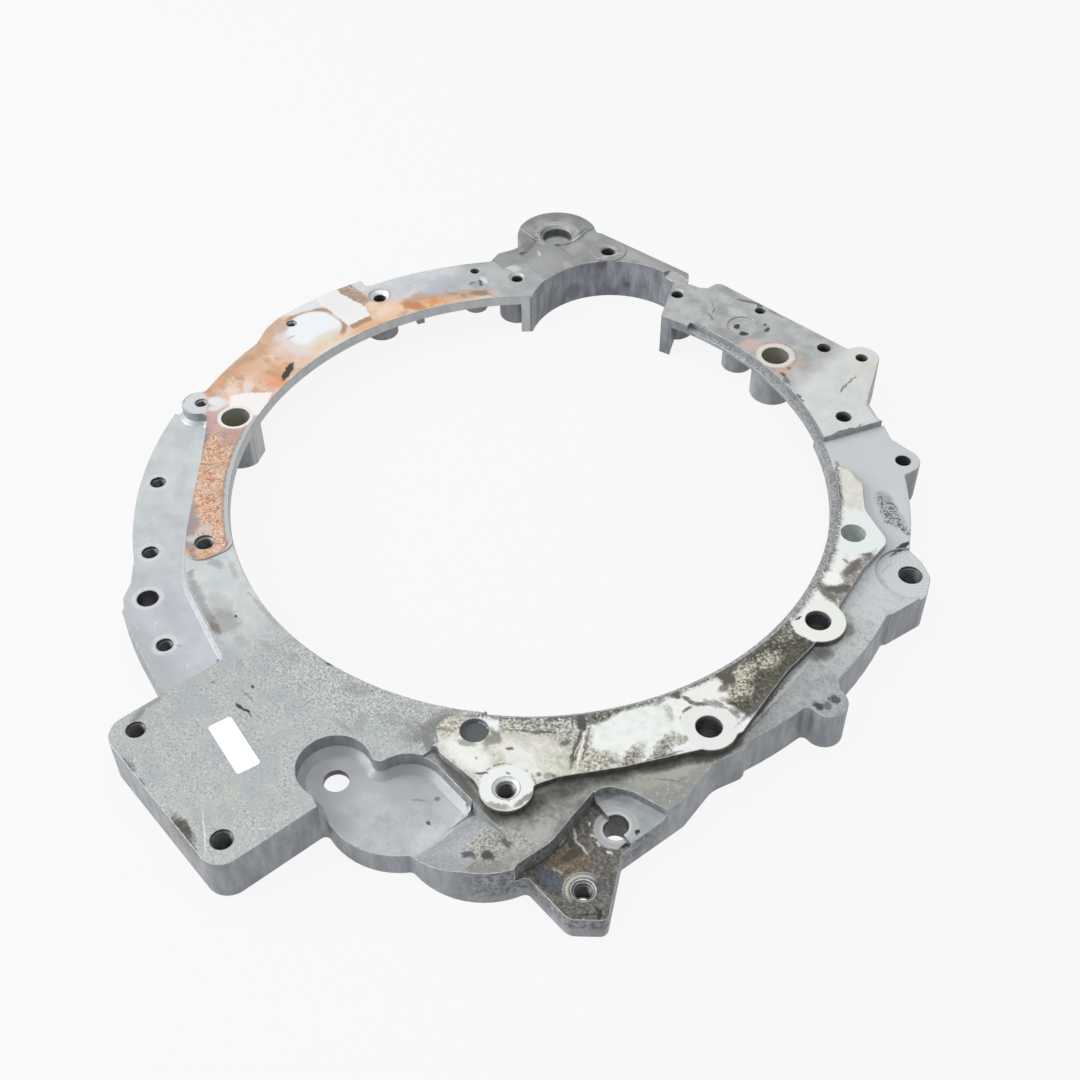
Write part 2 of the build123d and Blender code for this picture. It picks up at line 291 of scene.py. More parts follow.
p.lay(
    p.either(
        p.ball(-125.9, 165.8, 25, 4, 2.5) * 0.7, p.ball(-133.2, 148.7, 8, 6, 1.0) * 0.35,
        p.ball(-113.6, 178.9, 9.5, 2, 1.0) * 0.8,
    ), (92, 88, 84),
)
mould_skin = p.done()

# the drilled bores, painted dark inside as shade and lighter near the mouth as painted light, but clean and
# yellowish where the dowels sat
p = Paint("drilled_bore", 0.45, 0.4)
z = p.axes(p.place)[2]
p.colour = p.ramp(p.rag, 0.3, (70, 71, 72), 0.7, (108, 110, 113))
p.lay(p.step(z, 24.5, 27), grey(150))
dowel_bores = p.either(p.disc(-148, -97.5, 9, 0.3, True), p.disc(15.7, 179.3, 9, 0.3, True))
# the dowel bore walls darken towards the bottom: painted shade
p.lay(dowel_bores, p.ramp(p.step(z, 14.5, 26), 0.0, (136, 135, 124), 1.0, (168, 167, 158)), 0.38)
p.lay(dowel_bores * p.step(z, 14.5, 14.1), (228, 222, 204), 0.4)
# the bore at 146.6, 100.6 is painted bright inside: painted light
p.lay(p.disc(146.6, 100.6, 7, 0.3, True), p.ramp(p.rag, 0.35, (200, 206, 204), 0.6, (224, 229, 227)), 0.35)
# the ear's bore is painted near white below its top: painted light, for the bright floor seen through it
p.lay(p.disc(-166.8, 163.8, 10, 0.3, True) * p.step(z, 21, 18.5), (236, 238, 238), 0.4)
tapped = p.either(p.disc(176.3, 40.4, 7, 0.4, True), p.disc(188, -48.2, 7, 0.4, True))
p.height = p.math("PINGPONG", z, 0.9) * (tapped * p.step(z, 19, 18)) * 0.7
drilled_bore = p.done()

# the edges, where a file and long handling left bare metal
p = Paint("filed_edge", 0.4, 0.42)
p.colour = p.ramp(p.rag, 0.35, grey(150), 0.62, grey(188))
filed_edge = p.done()

# the square pad and the band of the ring beside it, blasted to an even sparkling grain
p = Paint("blasted_face", 0.32, 0.5)
x, y = p.axes(p.place)[:2]
grit = p.noise(0.7, 1, 0.6, 5)
speck = p.noise(1.5, 2, 0.7, 17)
cloud = p.noise(8, 3, 0.6, 3)
far = p.from_middle(p.place)
blast = grit * 0.6 + speck * 0.4
smooth_end = p.step(x, 16, -16) * p.step(far, 197, 187)
p.height = p.math("MULTIPLY_ADD", blast, 0.12 * (1 - smooth_end * 0.8), 0.0)
p.colour = p.ramp(blast, 0.34, (150, 153, 153), 0.5, (176, 179, 178), 0.66, (200, 202, 199))
p.rough = p.math("MULTIPLY_ADD", blast, -0.3, 0.65)
p.lay(p.step(cloud, 0.5, 0.66) * p.step(x, -10, 60) * 0.4, (188, 186, 176))
p.lay(p.step(p.noise(11, 2, 0.5, 31), 0.48, 0.62) * 0.55, (162, 172, 174))
p.lay(p.step(p.noise(14, 3, 0.6, 77), 0.5, 0.64) * p.step(y, -205, -225) * 0.45, (168, 169, 167))
near_ring = p.step(far, 196, 180) * p.step(x, 6, 36)
p.lay(near_ring * p.step(blast, 0.52, 0.6) * 0.8, (214, 213, 204), 0.4)
p.lay(near_ring * p.step(blast, 0.47, 0.38) * 0.7, (132, 135, 134))
p.lay(p.step(speck, 0.44, 0.36) * p.step(cloud, 0.56, 0.44) * p.step(x, -20, 20) * 0.6, (138, 140, 140))
p.lay(smooth_end * 0.85, p.ramp(cloud, 0.3, (194, 198, 198), 0.7, (214, 217, 216)), 0.42)
p.lay(smooth_end * p.ovals([(-50, -170, 14, 6, -15)], 0.7, 0.4) * 0.4, (190, 204, 202))
p.blots([
    (-56, -168, 5, 2.4, 20, 0.6), (-62, -180, 9, 2, -25, 0.7), (-44, -186, 12, 2.6, -12, 0.7),
    (-30, -181, 9, 5, 0, 0.35), (-28, -190, 10, 2.5, -5, 0.8), (8, -178, 5, 2, 10, 0.5),
    (-12, -166, 16, 1.3, -2, 0.5), (30, -162, 14, 1.2, 8, 0.5), (-3, -186, 5, 3, 0, 0.4),
    (-47, -163, 7, 1.5, -18, 0.4),
], (150, 151, 150), 0.7, 1.3)
p.blots([
    (-20, -186, 9, 7, 20, 0.5), (-19, -191, 5, 2.6, 0, 0.9), (-40, -190, 2.4, 0.8, 0, 0.9),
], (124, 116, 112))
# the dark patches near x 100 at the pad's right end, beside the tip of the raised face, are painted shade
p.blots([
    (5, -249, 1.6, 7, 25, 0.6), (2.5, -240, 1.4, 8, 4, 0.4), (102, -146, 4.6, 14, 0, 0.75),
    (99, -139, 3, 7, -10, 0.5), (108, -153, 12, 3, -12, 0.8), (96, -152, 5, 4, 0, 0.3),
], (112, 112, 110), 0.9, 0.7)
p.blots([
    (60, -160, 7, 4, 25, 0.5), (77, -170, 6, 3, -50, 0.5), (86, -158, 8, 3, 30, 0.4),
    (73, -178, 7, 1.6, 10, 0.5), (22, -173, 6, 2.6, 20, 0.35), (10, -195, 4, 2, -30, 0.3),
    (97, -157, 4, 5, 0, 0.5),
], (140, 142, 140), 0.9, 1.0)
p.blots([
    (74, -265.5, 8.5, 2.8, 0), (81, -266.8, 8, 1.1, -5, 0.8), (27, -266.8, 6, 1.6, 5, 0.6),
    (40, -267, 3, 0.9, 0, 0.6),
], (84, 77, 71), 0.9, 1.3, 0.65)
pitted = p.either(
    p.strokes([
        (28.5, -209.3, 35, -208.6, 1.3), (33, -208.4, 39, -207.2, 1.5),
        (38, -207.5, 41.5, -208.2, 0.9, 0.7), (24, -202.6, 33, -202.2, 0.9, 0.4),
        (-43, -190, -38, -190.4, 1.4, 0.6),
    ]), p.disc(25.6, -197.6, 1.0), p.disc(-18.6, -178.8, 1.0), p.disc(62.6, -152.6, 0.9) * 0.8,
    p.disc(66, -155, 0.7) * 0.6, p.oval(38, -161, 1.9, 0.9, 30, 0.7, 0.8) * 0.85,
    p.disc(11, -210.4, 0.6) * 0.6,
)
p.lay(pitted, (66, 65, 64), 0.7, 0.25)
p.marks([
    (71.5, -253.8, 93, -265.3, 0.9, 0.8), (100, -236, 93.5, -243.5, 0.7, 0.5),
], (222, 220, 212), 0.8, 0.4, 0.35, 0.1)
blasted_face = p.done()

# the crescent flange, cast smooth and paler towards its far end
p = Paint("crescent_skin", 0.32, 0.42)
x, y, z = p.axes(p.place)
cloud = p.noise(9, 3, 0.55, 3)
p.height = p.noise(0.8, 1, 0.6, 5) * 0.03
p.colour = p.ramp(cloud, 0.3, (185, 188, 193), 0.7, (198, 200, 205))
p.lay(p.step(x, -50, -150) * 0.85, p.ramp(cloud, 0.3, (199, 204, 204), 0.7, (212, 216, 214)))
p.lay(p.step(y, -212, -226) * 0.55, (166, 167, 169))
p.lay(p.step(z, 20.2, 20.8), p.ramp(p.rag, 0.35, (170, 174, 178), 0.6, (190, 194, 197)), 0.5)
p.lay(p.step(p.noise(20, 3, 0.6, 91), 0.5, 0.64) * 0.3, (168, 174, 180))
p.blots([
    (-172, -116, 10, 2.5, -8, 0.6), (-163, -120, 9, 3, -30, 0.4), (-128, -147, 14, 3, -40, 0.4),
    (-20, -226, 22, 1.6, -6, 0.4),
], (176, 184, 188), 0.9, 0.7)
for hole_x, hole_y, bore in (
    (-137.5, -156.1, 4.2), (-92.3, -187.2, 4.4), (-63.9, -205, 5.6), (-30.5, -214.6, 4.2),
):
    p.lay(p.ring(hole_x, hole_y, bore + 1.6, 2.2, 0.7) * p.step(p.rag, 0.3, 0.5) * 0.75, grey(214))
p.marks([
    (-47, -209, -45, -212, 0.8), (-137.5, -140, -136.5, -145, 1.0, 0.7), (-151, -137, -150, -141, 0.8, 0.6),
    (-12, -212, -10, -214, 0.7, 0.6), (-52, -219, -48, -220, 0.6, 0.5),
], grey(226), 0.6, 0.5, 0.35)
p.blots([
    (-3, -200, 2, 0.8, 0), (-25, -209.5, 1.6, 0.7, 20, 0.5), (-110, -176, 1.2, 0.5, 40, 0.4),
], grey(132), 0.7, 0.8)
crescent_skin = p.done()

# the left mating face, where a copper coated gasket has left its print, and clean metal under the seats
p = Paint("gasket_stained_face", 0.25, 0.5)
x, y = p.axes(p.place)[:2]
worm = p.noise(1.7, 2, 0.6, 41, warp=1.4)
patchy = p.noise(7, 4, 0.62, 7)
p.height = p.noise(0.8, 1, 0.6, 5) * 0.04
p.colour = p.ramp(
    patchy, 0.36, (196, 156, 128), 0.46, (216, 178, 150), 0.54, (222, 192, 168), 0.66, (232, 212, 196),
)
p.lay(p.step(p.noise(3, 3, 0.7, 61), 0.55, 0.68) * 0.4, (236, 222, 210))
p.lay(p.step(p.noise(4, 4, 0.7, 95, stretch=(1, 2, 1), turn=-35), 0.52, 0.66) * 0.45, (192, 150, 120))
low_band = p.step(y, -98, -112)
p.lay(
    low_band,
    p.ramp(worm, 0.36, (150, 116, 98), 0.45, (190, 150, 124), 0.54, (219, 181, 151), 0.66, (238, 208, 182)),
)
p.lay(low_band * p.step(patchy, 0.5, 0.62) * 0.5, (208, 190, 176))
p.lay(
    low_band * p.step(worm, 0.54, 0.44)
    * p.ovals([
        (-131, -121, 7, 4, -50, 0.8), (-114, -137, 8, 4, -40, 0.7), (-97, -149, 6, 4, -35, 0.7),
        (-84, -152, 5, 4, 0, 0.5), (-120, -146, 9, 3, -40, 0.6), (-105, -155, 7, 3, -38, 0.6),
    ], 0.9, 0.6), (190, 124, 90),
)

# a mauve edge outside the low band, a grey rim inside it, and brown lines along both
far = p.from_middle(p.plan)
p.lay(low_band * p.step(far, 183, 187.5), p.ramp(p.rag, 0.35, (134, 114, 114), 0.62, (176, 154, 148)))
p.blots([
    (-88, -165, 11, 5, -52), (-97, -158, 8, 3, -40, 0.8), (-78, -173, 7, 3, -25, 0.9),
], (158, 144, 148), 0.8, 0.8)
p.blots([(-70, -177, 7, 2, -20, 0.8), (-63, -172, 2, 5, 20, 0.5)], (214, 176, 132), 0.8, 0.8)
p.lay(p.step(y, -84, -100) * p.step(far, 169.8, 168.2) * 0.9, (164, 136, 120))
p.lay(p.step(y, -78, -96) * p.step(far, 168.3, 167.3), (186, 189, 189), 0.4)
beyond = p.step(p.from_point(p.plan, -72.4, -164.3), 12.4, 13.2)
beyond = beyond * p.step(p.along(0.88, -0.47, 0.88 * 70 - 0.47 * 165), 0, 1.5)
p.lay(beyond, (196, 200, 200), 0.42)
p.lay(p.ring(-72.4, -164.3, 12.4, 1.2, 0.7) * p.step(x, -68, -62) * 0.7, (158, 128, 114))
p.blots([(-78, -168, 4, 2.6, 30, 0.9), (-81, -160, 2.4, 5, 10, 0.7)], (196, 196, 192), 0.7, 0.7)

# stains of the broad field above the dowel
p.blots([
    (-176, -38, 22, 9, 8, 0.8), (-196, -39, 9, 6, -35, 0.5), (-170, -27, 12, 8, 0, 0.6),
], (228, 206, 192))
p.blots([(-182, -33, 16, 7, 10, 0.9), (-163, -28, 6, 14, 12, 0.7)], (222, 216, 212), 0.9, 0.7)
p.blots([
    (-194, -58, 6, 16, -14, 0.7), (-186, -76, 6, 20, -5, 0.75), (-183, -92, 7, 9, 0, 0.8),
    (-201, -40, 10, 4, -42, 0.7), (-174, -60, 9, 5, 30, 0.4),
], (203, 163, 134), 0.9, 0.9)
p.blots([
    (-188, -66, 4, 9, 0, 0.7), (-184, -83, 4, 6, 10, 0.5), (-177, -97, 6, 3, -10, 0.6),
    (-169, -46, 3, 8, 50, 0.3),
], (182, 144, 114), 0.9, 1.0)
p.blots([
    (-161, -62, 9, 5, 20, 0.9), (-184, -87, 4, 4, 0, 0.7), (-171, -52, 7, 4, 40, 0.5),
    (-178, -68, 11, 6, 35, 0.45), (-163, -38, 7, 5, -30, 0.35),
], (226, 166, 130), 0.9, 0.9)
p.blots([(-168, -76, 8, 3.2, -38, 0.9)], (228, 214, 206), 0.7, 0.8)
p.blots([(-173, -70, 7, 4, -20, 0.8), (-180, -64, 8, 5, 30, 0.5)], (223, 188, 160))
p.blots([(-166, -87, 9, 5, -20, 0.7), (-160, -94, 6, 4, 0, 0.6)], (238, 216, 200))
p.blots([
    (-162, -107, 8, 4, 15, 0.8), (-152, -110, 9, 4, -25, 0.7), (-141, -82, 2.5, 14, 32, 0.8),
    (-160, -97, 3, 4, 0, 0.6), (-174, -94, 4, 1.6, -10, 0.6),
], (206, 168, 164), 0.8, 0.8)
p.blots([(-137, -108, 6, 12, 40, 0.7), (-156, -116, 8, 3, -40, 0.5)], (178, 150, 146))
p.lay(
    p.area([(-153, -69), (-163, -82), (-166, -90), (-152, -100), (-139, -84)], 1.0, 1.0), (243, 238, 236),
    0.42,
)
p.lay(p.disc(-148, -97.5, 10.2, 0.5, True), (234, 233, 231), 0.35)
p.blots([(-167, -98.5, 5.5, 4, 20), (-163, -100, 3, 6, 0, 0.8)], (228, 231, 234), 0.6, 0.6, 0.4)
p.lay(
    p.area([(-186, -99), (-174, -101), (-163, -107), (-160, -114), (-178, -117)], 1.2, 0.8),
    (206, 209, 211),
)
p.blots([(-159, -58, 4, 3, 0, 0.9), (-158, -65, 5, 3, 20, 0.5)], (222, 150, 108), 0.8, 0.8)
p.blots([(-167, -59, 5, 2.5, 30, 0.8)], (196, 152, 116), 0.8, 0.8)
p.blots([(-156, -46, 4, 3.5, 0, 0.9), (-152, -56, 2.5, 7, 15, 0.6)], (196, 188, 176), 0.8, 0.8)
p.marks([
    (-168, -44.5, -158, -58, 4.2), (-157.5, -45, -156.5, -49.5, 1.6, 0.6),
], (66, 62, 58), 0.35, 0.45, 0.75, 0.5)

# the clean print of a round seat, with a brown line half way round it
p.lay(p.disc(-188, -15.5, 17.5, 3.2), (240, 242, 244), 0.4)
p.blots([(-170, -14, 9, 17, 6, 0.95), (-168, 2, 6, 8, 0, 0.6)], (230, 212, 192), 0.8, 0.5)
p.blots([(-174, -12, 3, 8, 0, 0.6), (-165, -17, 2, 9, 0, 0.6), (-177, -20, 3, 6, 0, 0.5)], (224, 220, 204))
p.blots([
    (-170, -8, 3.4, 6, -10, 0.7), (-169, -24, 3, 6, 20, 0.6), (-163, -34, 4, 6, 0, 0.6),
], (226, 196, 170), 0.9, 0.9)
upper_left = p.step(p.along(-0.5, 0.87, 0.5 * -188 - 0.87 * -15), -3, 2)
p.lay(p.ring(-188, -15.5, 18.6, 3.2, 1.1) * upper_left * p.step(p.rag, 0.2, 0.4), (172, 144, 124))
p.blots([
    (-201, -31, 4, 6, 20, 0.9), (-206, -30, 3, 4, 0, 0.6), (-190, 1, 12, 1.4, 2, 0.4),
], (202, 176, 158), 0.9, 0.9)
p.blots([(-189.5, -31.5, 0.9, 3.2, 0, 0.8)], (188, 178, 182), 0.6, 0.8)
outside = (
    p.step(p.along(-0.97, 0.26, 0.97 * -204 - 0.26 * -10), 0, 2.5) * p.step(y, -26, -20) * p.step(y, 6, 1)
)
p.lay(outside, (224, 225, 226))

# the clean print of a square seat above it
p.lay(
    p.area([(-214, 1.5), (-176, 1.8), (-176, 18), (-186, 21.4), (-207, 18), (-214, 17)], 0.6),
    (238, 239, 236), 0.42,
)
p.blots([(-198, 9, 14, 6, 0, 0.35)], (227, 229, 227), 1.0, 0.8)
p.lay(
    p.area([(-175.6, 2.5), (-171, 2.5), (-171, 17.5), (-175.6, 17.5)], 1.0, 0.6) * 0.9, (164, 132, 114),
    0.5, 0.1,
)
p.blots([(-168, 10, 3.4, 11, 0, 0.9), (-170, 24, 6, 8, 0, 0.5)], (226, 178, 140), 0.8, 0.7)
p.lay(
    p.area([
        (-213, 27.5), (-212, 17.8), (-206, 17.2), (-186, 21.5), (-189, 29), (-196, 27.5), (-204, 28),
    ], 0.6, 0.5), p.ramp(p.rag, 0.35, (158, 132, 116), 0.6, (186, 160, 140)), 0.55,
)
p.marks([(-212, 26.3, -199, 27.6, 2.2, 0.85)], (124, 108, 108), 0.7, 0.5)

# the orange band that narrows up the far side, and the grey metal outside it
p.blots([(-173, 31, 8, 12, 10, 0.9), (-181, 26, 7, 5, 20, 0.6)], (238, 214, 190), 0.9, 0.7)
p.blots([(-168, 27, 3, 9, 5, 0.6), (-175, 36, 6, 3, 0, 0.5)], (232, 192, 154), 0.9, 0.9)
past_band = p.step(p.along(-0.857, 0.514, -0.857 * 178 - 0.514 * 42), -1, 1.4) * p.step(y, 27.6, 29.2)
outer = p.either(past_band, p.step(y, 91, 94), p.step(x, -188, -192) * p.step(y, 27.6, 29.2))
p.lay(outer, p.ramp(patchy, 0.35, (200, 203, 206), 0.65, (215, 217, 218)), 0.42)
p.lay(
    p.area([(-176, 39), (-158, 38), (-150, 72), (-142, 90), (-152, 90), (-166, 66)], 1.0, 0.8),
    p.ramp(patchy, 0.38, (204, 142, 96), 0.5, (222, 164, 116), 0.62, (230, 190, 150)), 0.52,
)
p.blots([
    (-167, 45, 8, 4, 10, 0.9), (-172, 52, 4, 5, 20, 0.6), (-163.5, 58, 2.6, 1.5, 0, 0.8),
], (192, 132, 100), 0.8, 0.9)
p.blots([(-162, 62, 6, 4, 30, 0.7), (-165, 56, 5, 3, 0, 0.5)], (228, 160, 104))
p.lay(p.area([(-176, 44), (-171, 44), (-149, 88), (-154, 88)], 1.2, 0.9) * 0.8, (190, 162, 140))
p.lay(p.area([(-162, 62), (-152, 62), (-141, 90), (-153, 90)], 1.6, 0.9) * 0.7, (206, 182, 154))
p.lay(p.area([(-153, 62), (-150, 64), (-140, 88), (-145, 88)], 1.4, 0.8) * 0.8, (222, 208, 184))
p.blots([
    (-149, 85, 8, 3, 52, 0.9), (-154, 75, 3, 2, 0, 0.6), (-160, 71, 3, 1.6, 40, 0.6),
], (148, 126, 110), 0.8, 0.9)
p.blots([
    (-179, 39, 6, 3, 35, 0.8), (-144, 91, 4, 1.6, 20, 0.8), (-183, 42, 4, 2, 20, 0.6),
], (220, 200, 196), 0.8, 0.8)

# the seat, the tip and the pits beside them
p.lay(p.ring(-188.8, 34.7, 6.4, 1.8, 0.5) * 0.7, (146, 146, 148))
p.lay(p.disc(-188.8, 34.7, 6.2, 0.5, True), (220, 223, 224), 0.35)
p.blots([(-205, 35, 8, 8, 0, 0.8)], (218, 220, 220), 0.7, 0.4)
p.lay(
    p.either(p.step(y, 86, 100), outer * p.step(x, -180, -166) * 0.7),
    p.ramp(patchy, 0.35, (164, 168, 169), 0.65, (181, 184, 183)),
)
p.lay(p.step(p.noise(2.5, 3, 0.7, 71), 0.55, 0.68) * outer * 0.35, (152, 156, 156))
p.blots([(-172, 72, 8, 12, 0, 0.6), (-170, 88, 7, 8, 0, 0.4), (-183, 62, 6, 14, -12, 0.3)], (180, 182, 192))
p.lay(p.oval(-158.5, 88.5, 4, 3.6, 0, 0.5, 0.6) * 0.8, (164, 168, 168), 0.5, 0.3)
p.blots([(-157.5, 91.5, 3.6, 1.1, -25), (-161, 87, 1.0, 2.4, 0, 0.7)], (96, 98, 98), 0.7, 0.8, 0.6, 0.2)
p.blots([(-158.5, 95, 4, 1.5, -10)], grey(224), 0.7, 0.6)
p.blots([(-158, 105, 12, 7, 15, 0.5), (-148, 100, 8, 4, 40, 0.3)], (198, 202, 202), 0.9, 0.7)
p.lay(p.area([(-174, 112.5), (-152, 115), (-152, 121), (-176, 119)], 0.8), (206, 208, 206), 0.35)
gasket_stained_face = p.done()

# the starter arm, the ear and the upper block, milled and dulled to a mottled grey
p = Paint("dull_milled_face", 0.32, 0.45)
x, y, z = p.axes(p.place)
patchy = p.noise(9, 4, 0.6, 13)
fine = p.noise(1.2, 2, 0.6, 5)
p.height = p.math("MULTIPLY_ADD", fine, 0.05, patchy * 0.06)
p.colour = p.ramp(patchy, 0.34, (164, 165, 164), 0.5, (179, 180, 179), 0.66, (194, 196, 195))
p.lay(p.step(fine, 0.52, 0.64) * 0.25, grey(206))
block_right = p.step(p.along(0.98, 0.2, -34 - 36), 0, 16)
p.lay(block_right, p.ramp(patchy, 0.34, (211, 213, 209), 0.66, (223, 225, 222)), 0.42)
arm = p.step(x, -74, -80)
p.lay(arm, p.ramp(patchy, 0.34, (146, 147, 145), 0.66, (163, 164, 161)), 0.5)
p.lay(
    arm
    * p.ovals([
        (-112, 189, 22, 5, 6, 0.8), (-148, 135, 10, 14, 20, 0.6), (-95, 186, 12, 4, 0, 0.5),
    ], 0.9, 0.6), (176, 178, 177),
)
p.blots([(-106, 193, 26, 2.6, 5, 0.7), (-85, 195, 10, 3, 0, 0.5)], (160, 156, 150), 0.9, 0.6)
p.blots([(-141, 117, 18, 9, -10, 0.9), (-128, 122, 8, 12, -30, 0.7)], (190, 191, 188), 0.7, 0.5)
p.lay(p.ring(-147.2, 113, 6, 3, 0.8) * 0.6, grey(206))
ear = p.disc(-166.8, 163.8, 27, 0.6, True) * p.step(p.along(0.9, -0.3, 0.9 * 157 + 0.3 * 170), 2, -2)
p.lay(ear, p.ramp(patchy, 0.34, (136, 137, 134), 0.66, (156, 156, 153)), 0.5)
p.lay(ear * p.ring(-166.8, 163.8, 13.5, 3.2, 1.0) * p.step(p.rag, 0.25, 0.55) * 0.8, (186, 187, 182))
p.blots([
    (-184, 165, 3, 6, 0, 0.6), (-183, 153, 5, 3, 30, 0.5), (-175, 178, 6, 2.4, 20, 0.5),
], (176, 177, 172))
p.blots([(-151, 181, 6.5, 5, -10, 0.9)], (164, 170, 171), 0.6, 0.5)
p.marks([
    (-156, 174, -153, 164, 1.8, 0.8), (-128, 168, -124, 182, 2.2, 0.7), (-162, 143, -156, 140, 1.8, 0.9),
], grey(212), 0.6, 0.5, 0.35)
p.blots([
    (-137, 147, 5, 3, -30, 0.5), (-148, 163, 5, 8, 20, 0.4), (-118, 183, 5, 5, 0, 0.4),
], (190, 190, 188), 0.9, 0.7)
p.blots([
    (-154, 156, 13, 1.4, -8, 0.6), (-143, 151, 8, 1.2, -12, 0.4), (-133, 158, 1.6, 8, 0, 0.4),
], (140, 140, 138))
p.marks([
    (-173, 152, -164, 131, 4.2, 0.75), (-160, 184, -156, 170, 1.6, 0.7), (-175, 147, -170, 136, 3, 0.5),
], (112, 112, 112), 0.8, 0.9, 0.6)
p.blots([
    (-173.5, 149.5, 2, 1.3, 0), (-166, 133, 1.6, 2.2, 0, 0.9), (-176, 158, 2, 3, 0, 0.5),
], (78, 78, 78), 0.8, 0.8)
p.blots([(-184, 174, 4, 8, -35, 0.5), (-170, 187, 12, 3, 5, 0.5)], (132, 132, 124), 0.9, 0.7)
sloped_lip = p.step(z, 27.1, 26.6) * p.step(x, -100, -95) * p.step(x, -60, -66)
p.lay(sloped_lip, p.ramp(patchy, 0.34, (142, 143, 143), 0.66, (156, 157, 157)), 0.55)

# marks on the upper block
p.blots([
    (-30, 192, 7, 4, 10, 0.9), (-48, 172, 8, 6, 0, 0.6), (-60, 190, 8, 6, 0, 0.5),
    (-15, 200, 12, 3, 0, 0.4), (-42, 162, 12, 3, 10, 0.5), (-62, 172, 6, 8, 30, 0.5),
    (4, 204, 20, 6, 3, 0.3),
], (198, 200, 200))
p.blots([
    (-12, 172, 16, 5, 5, 0.6), (-36, 186, 7, 4, -40, 0.5), (-46, 204, 10, 3, 5, 0.5),
    (-5, 186, 3, 9, 0, 0.5), (-45, 180, 5, 2, -50, 0.5),
], (150, 151, 150), 0.9, 0.9)
p.marks([
    (-39, 202.5, -26, 209.5, 2.6, 0.8), (-28, 210, -20, 205, 3.6, 0.85), (-19, 209, -6, 210.5, 1.2, 0.6),
    (-42, 186, -38, 180, 1.0, 0.7), (-41, 179, -33, 175.5, 1.4, 0.6), (-47, 189, -43, 185, 1.0, 0.5),
], (92, 92, 92), 0.6, 0.5, 0.6)
# the dark lines along the step above the rim and along the lug's edge are painted shadow, with a shallow dent
p.marks([
    (-39, 164, -27, 166.5, 3.4, 0.9), (-29, 166.3, 4, 168, 2.4, 0.8), (60.5, 202, 61.5, 190, 1.2, 0.7),
    (61.5, 192, 64, 183, 1.3, 0.7), (86.5, 152, 91.5, 167, 2.6), (91, 172, 92.5, 162, 1.0, 0.6),
], (96, 97, 98), 0.5, 0.4, 0.6, 0.35)
p.blots([
    (-20, 183.5, 1.7, 2.6, 30), (-12, 181, 2.8, 2.6, 0), (-5, 194, 1.3, 2.8, 10, 0.9),
    (-9, 196.5, 0.9, 1.6, 20, 0.8), (51, 162, 2, 1.2, -20, 0.8), (54.5, 160.5, 1.6, 0.9, 0, 0.8),
    (36, 168, 5, 1.0, -28, 0.6),
], (66, 66, 66), 0.5, 0.5, 0.6, 0.6)
p.blots([(-1, 175, 6, 6.5, 0, 0.8), (8, 188, 5, 2, 20, 0.5)], (218, 190, 180), 0.8, 0.8)
p.blots([
    (28.5, 174, 4.5, 7, 10, 0.9), (31, 183, 3, 7, 0, 0.5), (28, 187, 4, 3, 0, 0.4),
], (212, 176, 156), 0.8, 0.9)
p.lay(p.ring(15.7, 179.3, 12.4, 1.6, 0.9) * p.step(y, 176, 186) * 0.6, (170, 152, 142))
p.lay(p.disc(15.7, 179.3, 11.6, 0.9), (230, 222, 212), 0.4)
p.blots([
    (31, 169.5, 2.4, 1.4, 0), (29.5, 176.5, 1.2, 1.8, 0, 0.8), (35.5, 166, 2.6, 1.0, -25, 0.7),
], (120, 104, 94), 0.7, 0.9)
p.lay(p.disc(51, 216.8, 10, 2.0), (224, 225, 221), 0.4)
p.blots([(57, 213, 4, 5, 0, 0.8), (60, 205, 3, 8, 15, 0.4)], (220, 212, 196), 0.9, 0.7)
p.blots([
    (88, 172, 3, 5, 0, 0.5), (92, 158, 2, 7, -20, 0.6), (46, 176, 14, 8, 0, 0.3),
], (228, 230, 228), 0.8, 0.7)
# the patch on the slope right of the lug is painted darker: painted shade
p.lay(p.area([(74, 199), (80, 186), (96, 180), (104, 186), (60, 226)], 1.0) * 0.7, (176, 174, 170))
dull_milled_face = p.done()

# the cast flange outside the white face, with a milled seat on its ear and oily smudges
p = Paint("flange_skin", 0.32, 0.44)
x, y, z = p.axes(p.place)
cloud = p.noise(10, 3, 0.6, 3)
speck = p.noise(1.3, 2, 0.7, 17)
p.height = p.noise(0.9, 1, 0.6, 5) * 0.05
# the tone runs darker towards the lower end and lighter towards the upper end: partly its own tone, partly
# painted light
p.colour = p.ramp(
    p.step(p.math("MULTIPLY_ADD", cloud, 24.0, y), -180, 190), 0.0, (134, 134, 129), 0.1, (142, 141, 134),
    0.3, (148, 148, 139), 0.46, (157, 161, 162), 0.6, (170, 174, 175), 0.72, (195, 198, 198), 1.0,
    (206, 209, 211),
)
p.lay(p.step(speck, 0.54, 0.7) * 0.35, grey(206), 0.38)
p.lay(p.step(speck, 0.46, 0.36) * p.step(y, 120, 60) * 0.45, (122, 123, 121))
p.lay(p.step(p.noise(6, 4, 0.65, 53), 0.5, 0.62) * p.step(y, 110, 70) * 0.45, (138, 140, 138))
p.lay(p.step(p.noise(6, 4, 0.65, 83), 0.54, 0.66) * p.step(y, 110, 70) * 0.4, (188, 190, 186))
p.blots([
    (186, 76, 12, 16, 0, 0.4), (120, 158, 20, 8, -20, 0.3), (145, 140, 20, 4, -42, 0.4),
], (214, 216, 216))
p.blots([(191, -72, 8, 16, -6, 0.8), (186, -88, 8, 8, 0, 0.6)], (172, 172, 160), 0.9, 0.6)
p.blots([
    (150, -162, 22, 8, 5, 0.5), (166, -128, 8, 12, 0, 0.6), (178, -128, 3, 22, 0, 0.4),
], (146, 144, 136), 0.9, 0.9)
p.blots([(178, -150, 6, 14, 0, 0.7), (170, -160, 8, 6, 0, 0.6)], (178, 178, 172), 0.9, 1.2)
